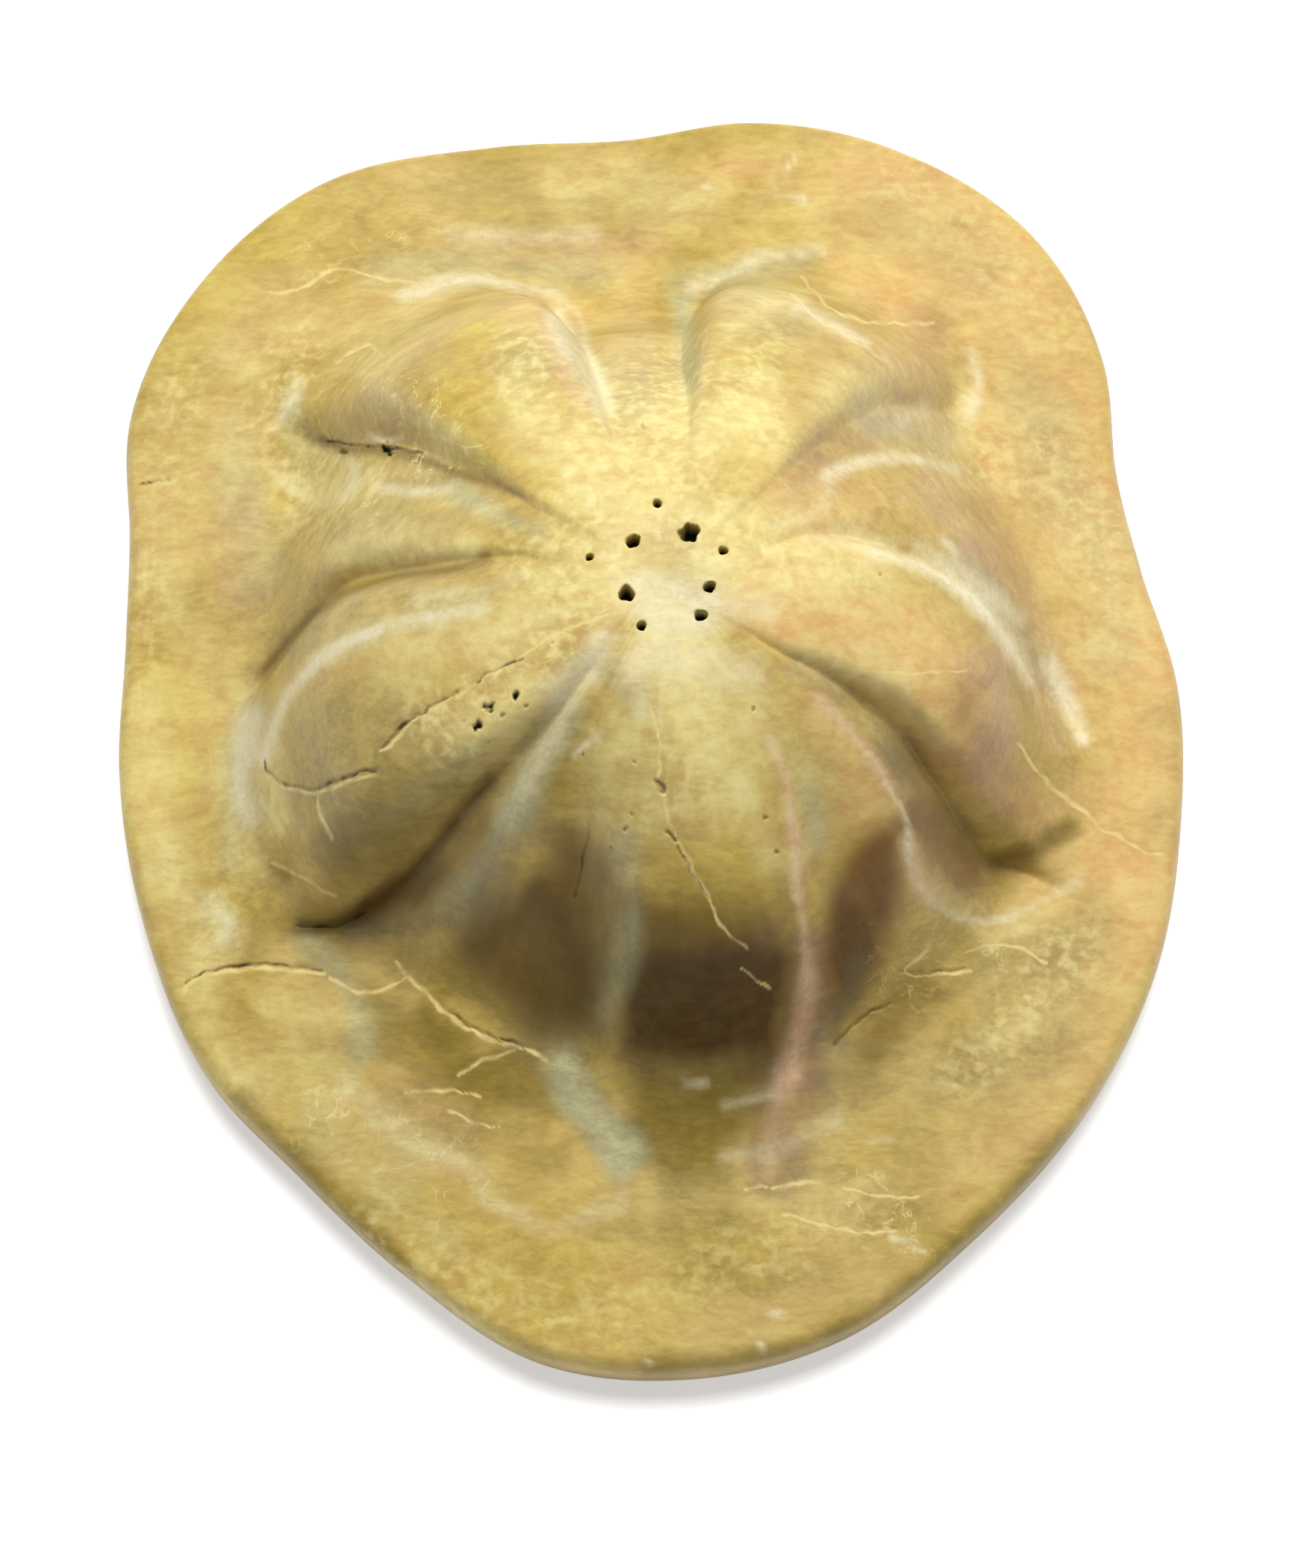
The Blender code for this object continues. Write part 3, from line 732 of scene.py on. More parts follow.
        (20, 24, 0.45, ((812, 1170), (820, 1260), (808, 1350))),
    ),
    Pigment.ROSE_AND_HIGHLIGHT: (
        (7, 8, 0.8, ((1030, 985), (1052, 1040), (1062, 1110), (1070, 1200))),
        (6, 8, 0.7, ((1070, 1200), (1078, 1250), (1080, 1300))),
        (12, 12, 0.75, ((1082, 1310), (1074, 1370), (1056, 1440))),
        (10, 16, 0.3, ((1052, 1430), (1038, 1500), (1030, 1560))),
        # painted highlight along the crest of the ridge right of the front petal, this row and the next
        (7, 9, 0.8, ((1096, 935), (1138, 978), (1172, 1022), (1190, 1055))),
        (11, 9, 0.7, ((1216, 1130), (1226, 1172), (1250, 1205))),
        (10, 14, 0.5, ((1355, 870), (1395, 950), (1420, 1000))), (12, 20, 0.4, ((1240, 560), (1260, 590))),
        (10, 14, 0.4, ((730, 440), (755, 500), (775, 540))),
    ),
    Pigment.MIST: (
        (14, 16, 0.5, ((838, 1130), (846, 1200), (834, 1290), (812, 1370))),
        (30, 15, 0.75, ((762, 1435), (778, 1470), (804, 1512), (836, 1548))),
        (40, 50, 0.35, ((1380, 560), (1440, 660), (1490, 800), (1500, 860))),
        (30, 34, 0.4, ((320, 600), (340, 680), (350, 760))),
        (24, 24, 0.45, ((500, 366), (600, 356), (700, 360), (800, 370))),
        (12, 16, 0.75, ((345, 950), (325, 1010), (322, 1050), (335, 1090))),
        (18, 24, 0.5, ((330, 930), (310, 1110), (300, 1150))), (16, 20, 0.5, ((275, 1205), (300, 1240))),
        (16, 18, 0.6, ((410, 1260), (460, 1310), (480, 1360), (485, 1410))),
        (12, 12, 0.7, ((612, 660), (660, 686), (725, 712))), (40, 26, 0.35, ((880, 790), (930, 820))),
        (14, 14, 0.55, ((1084, 1060), (1094, 1130))),
        (20, 16, 0.8, ((765, 945), (735, 1000), (700, 1060), (680, 1095))),
        (16, 20, 0.4, ((680, 1100), (640, 1170), (600, 1210))),
        (13, 12, 0.85, ((912, 405), (920, 460), (924, 520))), (16, 20, 0.5, ((390, 540), (395, 640))),
        (20, 22, 0.5, ((1160, 560), (1250, 590))), (18, 24, 0.5, ((910, 380), (1000, 365), (1080, 345))),
        (14, 20, 0.5, ((1290, 760), (1350, 830), (1400, 910))),
        (14, 18, 0.45, ((640, 800), (520, 830), (440, 870))),
        (16, 30, 0.35, ((420, 1500), (500, 1590), (600, 1660))),
    ),
    Pigment.PALE_AND_HIGHLIGHT: (
        (34, 20, 0.6, ((870, 790), (930, 815))),
        (7, 8, 0.8, ((540, 396), (575, 386), (605, 376), (640, 372), (690, 384))),
        (5, 9, 0.6, ((690, 386), (740, 392), (775, 420), (785, 450))),
        (10, 12, 0.6, ((745, 430), (760, 460), (790, 500), (805, 540))),
        (4, 6, 0.7, ((1000, 345), (1050, 340), (1105, 338))),
        (8, 14, 0.45, ((600, 310), (700, 318), (800, 312))),
        (6, 9, 0.6, ((1070, 410), (1110, 432), (1160, 460))),
        (6, 10, 0.6, ((925, 385), (960, 375), (1010, 350))),
        (7, 10, 0.8, ((1300, 470), (1312, 510), (1300, 550))),
        # painted highlight on a lit ridge crest
        (7, 10, 0.8, ((1110, 635), (1150, 618), (1210, 612), (1280, 628))),
        (8, 14, 0.4, ((1110, 660), (1090, 690), (1040, 700))),
        (10, 12, 0.9, ((1170, 740), (1240, 760), (1290, 790), (1325, 825), (1355, 865), (1380, 910))),
        (12, 12, 0.6, ((1230, 735), (1280, 765), (1320, 800))),
        (9, 10, 0.8, ((1410, 890), (1432, 950), (1450, 990))), (4, 4, 0.8, ((1266, 724), (1278, 738))),
        (12, 20, 0.4, ((1080, 720), (1150, 720), (1200, 730))),
        (7, 8, 0.85, (
            (352, 1020), (362, 985), (385, 930), (420, 890), (460, 862), (520, 840), (600, 822),
            (650, 815))),
        (8, 14, 0.4, ((560, 800), (640, 790), (700, 770))),
        (9, 10, 0.6, ((340, 1000), (325, 1040), (330, 1080))),
        (6, 8, 0.7, ((400, 510), (385, 550), (370, 575))),
        (4, 5, 0.8, ((495, 582), (515, 590), (540, 586))),
        (5, 6, 0.75, ((470, 620), (475, 645), (458, 670))),
        (6, 8, 0.5, ((365, 630), (395, 660), (425, 672))),
        (5, 8, 0.6, ((505, 652), (550, 660), (600, 655))),
        # painted highlight along the crest of the ridge right of the front petal, this row and the next two
        (2, 5, 0.95, ((1160, 1008), (1188, 1052), (1207, 1080), (1217, 1106), (1217, 1150))),
        (3, 6, 0.85, ((1226, 1180), (1250, 1208), (1284, 1230), (1318, 1236), (1356, 1228))),
        (6, 9, 0.6, ((1350, 1230), (1400, 1205), (1441, 1182))),
        (14, 14, 0.45, ((1400, 895), (1428, 945), (1448, 985))),
        (14, 12, 0.8, ((332, 965), (324, 1010), (318, 1055), (332, 1095))),
        (26, 26, 0.5, ((870, 880), (930, 890), (1000, 900))),
        (18, 18, 0.8, ((805, 855), (790, 895), (750, 930))), (18, 20, 0.5, ((845, 900), (860, 950))),
        (20, 22, 0.45, ((960, 815), (1020, 815))), (8, 10, 0.6, ((1335, 800), (1362, 830))),
        (12, 14, 0.5, ((1240, 548), (1215, 560))),
        (12, 12, 0.6, ((748, 425), (772, 465), (800, 512), (812, 545))),
        (12, 14, 0.5, ((765, 945), (735, 1000), (705, 1050))), (5, 5, 0.7, ((915, 1448), (945, 1452))),
        (4, 8, 0.5, ((970, 1480), (1040, 1465))), (8, 12, 0.35, ((970, 1550), (1040, 1540), (1120, 1500))),
        (8, 14, 0.3, ((640, 1600), (740, 1650), (830, 1610))),
        (14, 20, 0.3, ((470, 1460), (540, 1520), (640, 1570))),
        # painted glints on the polish: the tiny dots in this row and the next four
        (8, 10, 0.6, ((285, 1205), (305, 1232), (300, 1250))), (3, 4, 0.9, ((1030, 1768), (1045, 1756))),
        (3, 4, 0.8, ((1000, 1788), (1008, 1786))), (3, 4, 0.9, ((1020, 1800), (1024, 1808))),
        (3, 4, 0.7, ((866, 1826), (872, 1824))), (4, 6, 0.7, ((800, 985), (770, 1010))),
        (3, 4, 0.8, ((1052, 230), (1062, 215), (1070, 208))),
        (3, 4, 0.8, ((1038, 258), (1050, 258), (1078, 266))), (3, 4, 0.7, ((942, 248), (952, 252))),
        (3, 5, 0.7, ((1195, 1658), (1215, 1664), (1240, 1678))),
        (3, 5, 0.6, ((1150, 1535), (1180, 1522), (1205, 1530))),
    ),
    Pigment.FLECK: (
        (90, 70, 0.75, ((890, 560), (880, 640), (800, 700), (760, 760))),
        (50, 50, 0.7, ((980, 720), (1080, 760), (1150, 770))), (50, 50, 0.65, ((720, 560), (700, 500))),
        (40, 44, 0.6, ((1010, 480), (1000, 580))), (44, 40, 0.85, ((740, 850), (660, 920), (600, 980))),
        (44, 44, 0.8, ((900, 860), (920, 940), (930, 1040))),
        (40, 50, 0.55, ((420, 680), (360, 600), (400, 470))),
        (40, 50, 0.5, ((1330, 620), (1440, 640), (1480, 800))),
        (40, 60, 0.35, ((1220, 250), (1330, 330), (1400, 440))),
        (50, 60, 0.4, ((480, 1650), (700, 1760), (900, 1720), (1150, 1640))),
        (40, 50, 0.55, ((1300, 1420), (1360, 1360), (1420, 1280))),
        (30, 40, 0.5, ((170, 900), (200, 760), (240, 480))), (30, 40, 0.5, ((300, 1180), (280, 1240))),
    ),
    Pigment.VEIN: (
        (46, 34, 0.95, ((470, 530), (540, 540), (590, 590))), (40, 40, 0.7, ((430, 640), (480, 660))),
        (50, 50, 0.6, ((1150, 1600), (1230, 1640))), (50, 50, 0.55, ((450, 1500), (620, 1600))),
        (40, 50, 0.5, ((1200, 1290), (1330, 1270))), (40, 50, 0.5, ((1280, 620), (1380, 600))),
        (40, 50, 0.4, ((560, 310), (420, 360))),
    ),
}
CRACKS = (
    Crack(Fill.CREAM, 3.0, 0.06, (
        (1366, 998), (1400, 1045), (1445, 1080), (1470, 1105), (1530, 1138), (1575, 1152))),
    Crack(Fill.CREAM, 1.8, 0.03, ((815, 822), (780, 835), (740, 848), (700, 880), (650, 905), (610, 935))),
    Crack(Fill.DARK, 1.6, 0.12, ((700, 884), (650, 902), (638, 915))),
    Crack(Fill.CREAM, 2.6, 0.05, ((640, 912), (610, 932), (590, 942), (555, 965), (520, 998), (508, 1005))),
    Crack(Fill.DARK, 2.2, 0.2, ((612, 926), (585, 940), (560, 958), (535, 976), (510, 1000))),
    Crack(Fill.DARK, 2.8, 0.3, ((502, 1032), (480, 1034), (450, 1045), (425, 1057))),
    Crack(Fill.CREAM, 2.6, 0.05, (
        (504, 1038), (480, 1042), (448, 1054), (420, 1064), (372, 1052), (356, 1036))),
    Crack(Fill.DARK, 2.0, 0.15, ((420, 1059), (372, 1047), (356, 1030), (354, 1018))),
    Crack(Fill.CREAM, 2.4, 0.04, ((422, 1062), (428, 1085), (443, 1125))),
    Crack(Fill.CREAM, 2.8, 0.05, (
        (245, 1335), (250, 1320), (272, 1306), (300, 1301), (350, 1297), (400, 1300), (432, 1305))),
    Crack(Fill.DARK, 1.8, 0.14, (
        (248, 1318), (272, 1302), (300, 1296), (350, 1292), (410, 1297), (430, 1301))),
    Crack(Fill.CREAM, 2.4, 0.04, ((440, 1310), (480, 1330), (510, 1326), (545, 1308))),
    Crack(Fill.CREAM, 3.0, 0.05, (
        (530, 1286), (550, 1310), (590, 1352), (622, 1376), (660, 1394), (700, 1404), (732, 1420))),
    Crack(Fill.DARK, 2.2, 0.18, ((600, 1354), (628, 1374), (662, 1389), (700, 1399))),
    Crack(Fill.CREAM, 2.0, 0.03, ((615, 1442), (640, 1420), (690, 1408))),
    Crack(Fill.CREAM, 2.0, 0.03, ((540, 1462), (600, 1460), (640, 1468))),
    Crack(Fill.CREAM, 1.8, 0.03, ((600, 1490), (640, 1505), (670, 1510))),
    Crack(Fill.CREAM, 2.6, 0.05, (
        (870, 940), (885, 1000), (880, 1045), (890, 1062), (895, 1100), (925, 1160), (945, 1195),
        (968, 1242), (998, 1270))),
    Crack(Fill.DARK, 4.0, 0.4, ((880, 1046), (888, 1058))),
    Crack(Fill.DARK, 4.0, 0.4, ((894, 1114), (904, 1124))),
    Crack(Fill.DARK, 2.0, 0.12, ((905, 1130), (930, 1172), (948, 1204))),
    Crack(Fill.CREAM, 2.0, 0.04, ((994, 1296), (1030, 1325))),
    Crack(Fill.CREAM, 2.2, 0.04, ((1246, 1266), (1210, 1300), (1225, 1309), (1300, 1300))),
    Crack(Fill.DARK, 1.6, 0.1, ((1206, 1300), (1240, 1303), (1290, 1296))),
    Crack(Fill.CREAM, 2.0, 0.04, ((1290, 1274), (1330, 1266), (1365, 1268), (1400, 1290))),
    Crack(Fill.DARK, 2.6, 0.2, ((1192, 1342), (1165, 1354), (1140, 1376), (1120, 1398))),
    Crack(Fill.CREAM, 2.4, 0.04, ((1000, 1592), (1050, 1588), (1100, 1580))),
    Crack(Fill.CREAM, 2.2, 0.04, ((1050, 1625), (1100, 1640), (1150, 1650), (1200, 1650))),
    Crack(Fill.CREAM, 2.0, 0.04, ((1130, 1590), (1180, 1602), (1230, 1604))),
    Crack(Fill.CREAM, 2.4, 0.04, ((360, 392), (400, 390), (432, 368), (452, 357), (500, 370), (560, 380))),
    Crack(Fill.CREAM, 2.2, 0.04, ((450, 484), (475, 470), (495, 462), (512, 476))),
    Crack(Fill.CREAM, 2.2, 0.04, ((1072, 372), (1110, 410), (1150, 430), (1210, 434), (1250, 432))),
    Crack(Fill.CREAM, 2.0, 0.04, ((1060, 395), (1090, 425), (1140, 452), (1190, 485))),
    Crack(Fill.DARK, 1.4, 0.08, ((178, 645), (200, 646), (225, 643))),
    Crack(Fill.CREAM, 1.8, 0.03, ((1160, 896), (1220, 902), (1295, 898))),
    Crack(Fill.CREAM, 1.6, 0.03, ((600, 590), (620, 598), (645, 597))),
    Crack(Fill.DARK, 1.6, 0.06, ((790, 1100), (782, 1150), (770, 1200))),
    Crack(Fill.CREAM, 2.0, 0.03, ((365, 1155), (410, 1178), (450, 1200))),
    Crack(Fill.DARK, 2.4, 0.15, ((440, 592), (480, 598), (521, 600), (565, 606))),
    Crack(Fill.DARK, 2.2, 0.15, ((400, 1240), (450, 1240), (490, 1222))),
)
PITS = (
    Pit((655, 945), 5.5, 0.45), Pit((688, 930), 5.0, 0.45), Pit((640, 972), 6.0, 0.4),
    Pit((652, 994), 3.6, 0.3), Pit((672, 958), 3.4, 0.25), Pit((704, 946), 2.8, 0.25),
    Pit((622, 966), 2.8, 0.25), Pit((863, 570), 3.2, 0.2), Pit((1040, 1140), 3.0, 0.3),
    Pit((838, 1110), 2.6, 0.2), Pit((832, 1060), 2.4, 0.2), Pit((780, 1010), 2.4, 0.2),
    Pit((850, 1020), 2.6, 0.2), Pit((1010, 950), 2.6, 0.2), Pit((518, 601), 6.5, 0.6),
    Pit((460, 604), 3.5, 0.3), Pit((1025, 1095), 2.6, 0.2), Pit((846, 1090), 2.2, 0.2),
    Pit((818, 1135), 2.4, 0.2), Pit((740, 860), 2.2, 0.15), Pit((1180, 770), 2.0, 0.15),
)


@dataclass(frozen=True)
class Markings:
    """The coloured marks, painted shade and highlights among them, the cracks and the pits, looked up by the
    place in the photograph.
    """

    view: PhotoView
    wander_step: float = 4.0
    wander: float = 3.6
    wander_scale: float = 0.06
    small_turns: float = 0.3
    small_turns_scale: float = 3.0
    small_turns_level: float = 5.0
    width_level: float = 7.0
    mean_width: float = 0.95
    width_swell: float = 0.9
    least_width: float = 0.1
    crack_reach: float = 1.4
    cover_reach: float = 3.0
    edge_noise: float = 0.35
    edge_noise_scale: float = 0.012
    fibre_centre: tuple[float, float] = (890.0, 765.0)
    fibres_round: float = 30.0
    fibres_out: float = 0.008
    fibre_share: float = 0.35
    fine_reach: float = 20.0
    pit_noise: float = 1.3
    pit_noise_scale: float = 0.16
    pit_reach: float = 1.5

    def line_distance(self, pixels: np.ndarray, points: np.ndarray, closed: bool = False) -> np.ndarray:
        """Distance from pixels to a line, below zero inside it if it is closed.

        Args:
            pixels: rows of x, y.
            points: the line's points.
            closed: whether the line runs back to its first point and bounds an area.

        Returns:
            One distance for each pixel, in pixels.
        """
        ends = np.roll(points, -1, axis=0) if closed else points[1:]
        starts = points if closed else points[:-1]
        nearest = np.full(len(pixels), np.inf)
        inside = np.zeros(len(pixels), bool)
        for start, end in zip(starts, ends):
            along = end - start
            offset = pixels - start
            share = np.clip(offset @ along / max(along @ along, 1e-9), 0, 1)
            nearest = np.minimum(nearest, np.hypot(*(offset - share[:, None] * along).T))
            if closed and start[1] != end[1]:
                crossed = (pixels[:, 1] >= start[1]) != (pixels[:, 1] >= end[1])
                side = start[0] + (pixels[:, 1] - start[1]) * along[0] / along[1]
                inside ^= crossed & (pixels[:, 0] < side)
        return np.where(inside, -nearest, nearest)

    def coverage(self, pixels: np.ndarray, ragged: np.ndarray, pigment: Pigment) -> np.ndarray:
        """How much of a pigment lies at each place.

        Args:
            pixels: rows of x, y in the photograph.
            ragged: the noise of the strokes' edges at each.
            pigment: the pigment.

        Returns:
            Shares from 0 to 1.
        """
        bare = np.ones(len(pixels))
        for stroke in (Stroke(*row) for row in STROKES[pigment]):
            points = np.array(stroke.points, float)
            reach = stroke.half_width + stroke.blur
            near = self.near(pixels, points, reach * (1 + self.edge_noise))
            distance = self.line_distance(pixels[near], points, stroke.filled)
            distance += ragged[near] * self.edge_noise * reach
            bare[near] *= 1 - stroke.strength * smooth_step((reach - distance) / (2 * stroke.blur))
        return 1 - bare

    def raggedness(self, pixels: np.ndarray) -> np.ndarray:
        """Noise that makes the strokes' edges uneven, with fibres that run out from the top.

        Args:
            pixels: rows of x, y in the photograph.

        Returns:
            One value for each place.
        """
        x, y = (pixels - np.array(self.fibre_centre)).T
        turn = np.arctan2(y, x)
        outward = np.hypot(x, y) * self.fibres_out
        fibres = [np.cos(turn) * self.fibres_round, np.sin(turn) * self.fibres_round, outward]
        slow = noise_at(pixels, self.edge_noise_scale)
        return slow + self.fibre_share * noise_at(np.stack(fibres, axis=-1), 1.0)

    def near(self, pixels: np.ndarray, points: np.ndarray, reach: float) -> np.ndarray:
        """The numbers of the pixels that lie within reach of the box round some points."""
        inside = (pixels > points.min(axis=0) - reach) & (pixels < points.max(axis=0) + reach)
        return np.flatnonzero(inside.all(axis=1))

    def wandering(self, crack: Crack) -> np.ndarray:
        """A crack's line with the small turns of a natural break.

        Args:
            crack: the crack.

        Returns:
            The line's points in pixels.
        """
        points = np.array(crack.points, float)
        steps = np.hypot(*np.diff(points, axis=0).T)
        along = np.concatenate([[0], np.cumsum(steps)])
        places = np.linspace(0, along[-1], max(2, int(along[-1] / self.wander_step)))
        line = np.stack([np.interp(places, along, points[:, i]) for i in range(2)], axis=-1)
        for point in line:
            turn = noise.noise_vector(Vector((*point, 0)) * self.wander_scale)
            place = Vector((*point, self.small_turns_level)) * self.wander_scale * self.small_turns_scale
            turn += self.small_turns * noise.noise_vector(place)
            point += self.wander * np.array(turn[:2])
        return line

    def crack_cover(self, pixels: np.ndarray, crack: Crack) -> np.ndarray:
        """How far into a crack each place is.

        Args:
            pixels: rows of x, y in the photograph.
            crack: the crack.

        Returns:
            Values from 0 beside it to 1 in its middle.
        """
        line = self.wandering(crack)
        near = self.near(pixels, line, self.cover_reach * crack.half_width)
        distance = self.line_distance(pixels[near], line)
        swell = noise_at(pixels[near], self.wander_scale, self.width_level)
        width = crack.half_width * (self.mean_width + self.width_swell * swell)
        cover = np.zeros(len(pixels))
        cover[near] = smooth_step(self.crack_reach - distance / np.maximum(width, self.least_width))
        return cover

    def pit_cover(self, pixels: np.ndarray, pit: Pit) -> np.ndarray:
        """How far into a pit each place is.

        Args:
            pixels: rows of x, y in the photograph.
            pit: the pit.

        Returns:
            Values from 0 beside it to 1 in its middle.
        """
        place = np.array(pit.place)
        near = self.near(pixels, place[None], self.cover_reach * pit.half_width)
        offset = pixels[near] - place
        uneven = noise_at(pixels[near], self.pit_noise_scale, pit.half_width)
        distance = np.hypot(*offset.T) / pit.half_width + self.pit_noise * uneven
        cover = np.zeros(len(pixels))
        cover[near] = smooth_step(self.pit_reach - distance)
        return cover

    def fineness(self, pixels: np.ndarray) -> np.ndarray:
        """How near cracks and pits are.

        Args:
            pixels: rows of x, y in the photograph.

        Returns:
            Distance in pixels from each place to the nearest of them.
        """
        nearest = np.full(len(pixels), np.inf)
        for crack in CRACKS:
            line = self.wandering(crack)
            near = self.near(pixels, line, self.fine_reach)
            distance = self.line_distance(pixels[near], line) - crack.half_width
            nearest[near] = np.minimum(nearest[near], distance)
        for pit in PITS:
            nearest = np.minimum(nearest, np.hypot(*(pixels - np.array(pit.place)).T) - pit.half_width)
        return nearest


class Side(Enum):
    """The parts of the shell's surface."""

    SOLE = 0
    EDGE = 1
    TOP = 2


@dataclass
class Surface:
    """A triangle mesh under way: points in millimetres, each point's side, and faces."""

    points: np.ndarray
    sides: np.ndarray
    faces: np.ndarray


@dataclass(frozen=True)
class FineShell:
    """The shell as one fine mesh, with its relief, markings, and the five-grooved mouth side."""

    form: ShellForm
    markings: Markings
    view: PhotoView
    unevenness: float = 0.45
    unevenness_waves: float = 0.055
    ripple: float = 0.05
    ripple_waves: float = 0.3
    pore_depth: float = 2.4
    pore_raggedness: float = 0.36
    pore_raggedness_waves: float = 1.3
    pore_wall: float = 0.4
    full_depth_radius: float = 0.7
    black_pit: float = 5.0
    mouth_radius: float = 4.2
    mouth_throat: float = 0.7
    mouth_depth: float = 6.0
    groove_depth: float = 0.7
    groove_half_width: float = 1.1
    groove_end: float = 0.9
    groove_fade: float = 0.06
    sole_shares: tuple[float, float, float] = (0.93, 0.08, -0.016)
    sole_thinning: tuple[tuple[float, int], ...] = ((0.86, 1), (0.45, 2), (0.2, 4), (0.0, 8))
    throat_rings: int = 9
    mouth_end: tuple[float, float, int] = (0.15, 0.9, 5)
    vent_angle: float = 95.0
    vent_inset: float = 9.5
    vent_size: tuple[float, float, float] = (1.6, 2.2, 2.2)
    cave_shade: float = 0.6
    rim_shade_top: float = 8.0
    edge_pigment_start: float = 0.5
    edge_pigment_rise: float = 3.0
    flank_across: tuple[float, float, float, float] = (0.3, 0.25, 1.02, 0.15)
    flank_run: tuple[float, float, float, float] = (0.25, 0.2, 0.98, 0.15)
    brim_radius: float = 60.0
    crowding: float = 0.25
    brim_start: float = 45.0
    apex_thinning: int = 8
    band_radii: tuple[float, ...] = (4.5, 11.0, 27.0)
    band_steps: tuple[float, ...] = (0.42, 0.48, 0.56, 0.66)
    edge_rings: int = 16
    edge_squareness: float = 0.7
    refine_widths: tuple[float, ...] = (0.66, 0.32)

    def columns_at(self, radius: float, every: int) -> np.ndarray:
        """The angles of the mesh's columns at one radius, closer together beside the furrows.

        Args:
            radius: distance from the apex.
            every: 1 for all columns, 2 for every other one, and so on.

        Returns:
            Angles in degrees.
        """
        bounds = self.form.furrow_angles(np.array(radius))
        angles = []
        for k, lobe in enumerate(LOBES):
            even = np.linspace(-1, 1, lobe.columns // every, endpoint=False)
            across = even * (1 + self.crowding * (1 - even**2))
            angles.extend(bounds[k] + (across + 1) / 2 * (bounds[k + 1] - bounds[k]))
        return np.array(angles)

    def top_places(self) -> list[tuple[np.ndarray, np.ndarray]]:
        """Where the upper side's points lie, from the apex to the shoulder of the brim's edge.

        Returns:
            For each ring, its points' radii and angles.
        """
        starts = (self.band_steps[0], *self.band_radii)
        ends = (*self.band_radii, self.brim_start)
        places = []
        for band, (start, end, step) in enumerate(zip(starts, ends, self.band_steps)):
            for radius in np.linspace(start, end, max(2, round((end - start) / step)), endpoint=False):
                angle = self.columns_at(radius, self.apex_thinning >> band)
                places.append((np.full_like(angle, radius), angle))
        width = self.brim_radius - self.brim_start
        for share in np.linspace(0, 1, round(width / self.band_steps[-1])):
            angle = self.columns_at(self.brim_start + share * width, 1)
            shoulder = self.form.edge_radius(angle) - self.form.edge_rounding
            places.append((self.brim_start + share * (shoulder - self.brim_start), angle))
        return places

    def uneven_height(self, radius: np.ndarray, angle: np.ndarray) -> np.ndarray:
        """The upper side's height with the slow unevenness of a natural shell.

        Args:
            radius: distances from the apex.
            angle: angles in degrees.

        Returns:
            One height for each place.
        """
        height = self.form.top_height(radius, angle)
        points = self.form.ring(radius, angle, height)
        return height + self.unevenness * noise_at(points, self.unevenness_waves)

    def edge_points(self, heights: np.ndarray) -> list[np.ndarray]:
        """Rings of points round the brim's edge, from below the shoulder to the ground.

        Args:
            heights: the shoulder's height at each column.

        Returns:
            One array of points for each ring.
        """
        angle = self.columns_at(self.brim_radius, 1)
        centre = self.form.edge_radius(angle) - self.form.edge_rounding
        middle = self.form.edge_middle
        rings = []
        for turn in np.radians(np.linspace(90, -90, self.edge_rings + 1)[1:]):
            rise = heights - middle if turn > 0 else middle
            out = centre + self.form.edge_rounding * abs(math.cos(turn)) ** self.edge_squareness
            up = math.copysign(abs(math.sin(turn)) ** self.edge_squareness, turn)
            rings.append(self.form.ring(out, angle, middle + rise * up))
        return rings

    def sole_points(self) -> list[np.ndarray]:
        """Rings of points on the mouth side, from the edge into the mouth.

        Returns:
            One array of points for each ring.
        """
        rings = []
        for share in np.arange(*self.sole_shares):
            every = next(every for limit, every in self.sole_thinning if share > limit)
            angle = self.columns_at(self.brim_radius, every)
            radius = self.form.edge_radius(angle) * share
            rings.append(self.form.ring(radius, angle, self.sole_height(share, radius, angle)))
        angle = self.columns_at(self.brim_radius, self.apex_thinning)
        throat = self.mouth_throat
        walls = [(1 - (1 - throat) * step, throat * step) for step in np.linspace(0, 1, self.throat_rings)]
        ends = np.linspace(*self.mouth_end)
        roof = [(throat * (1 - step), throat + (1 - throat) * step) for step in ends]
        for width, rise in walls + roof:
            radius = np.full_like(angle, self.mouth_radius * width)
            rings.append(self.form.ring(radius, angle, self.form.dish_depth + self.mouth_depth * rise))
        return rings

    def sole_height(self, share: float, radius: np.ndarray, angle: np.ndarray) -> np.ndarray:
        """Height of the mouth side: level, then the dish, with a food groove under each petal.

        Args:
            share: share of the way from the apex to the edge.
            radius: distance from the apex.
            angle: angle in degrees.

        Returns:
            One height for each angle.
        """
        inward = np.clip(1 - share / self.form.dish_share, 0, 1)
        height = self.form.dish_depth * smooth_step(inward)
        bounds = self.form.furrow_angles(np.array(self.brim_radius))
        groove = np.zeros_like(angle)
        for k in range(1, len(LOBES), 2):
            middle = (bounds[k] + bounds[k + 1]) / 2
            beside = (angle - middle + 180) % 360 - 180
            across = np.abs(radius * np.radians(beside)) / self.groove_half_width
            groove = np.maximum(groove, smooth_step(1 - across))
        fade = smooth_step(np.array((self.groove_end - share) / self.groove_fade))
        return height + self.groove_depth * groove * fade

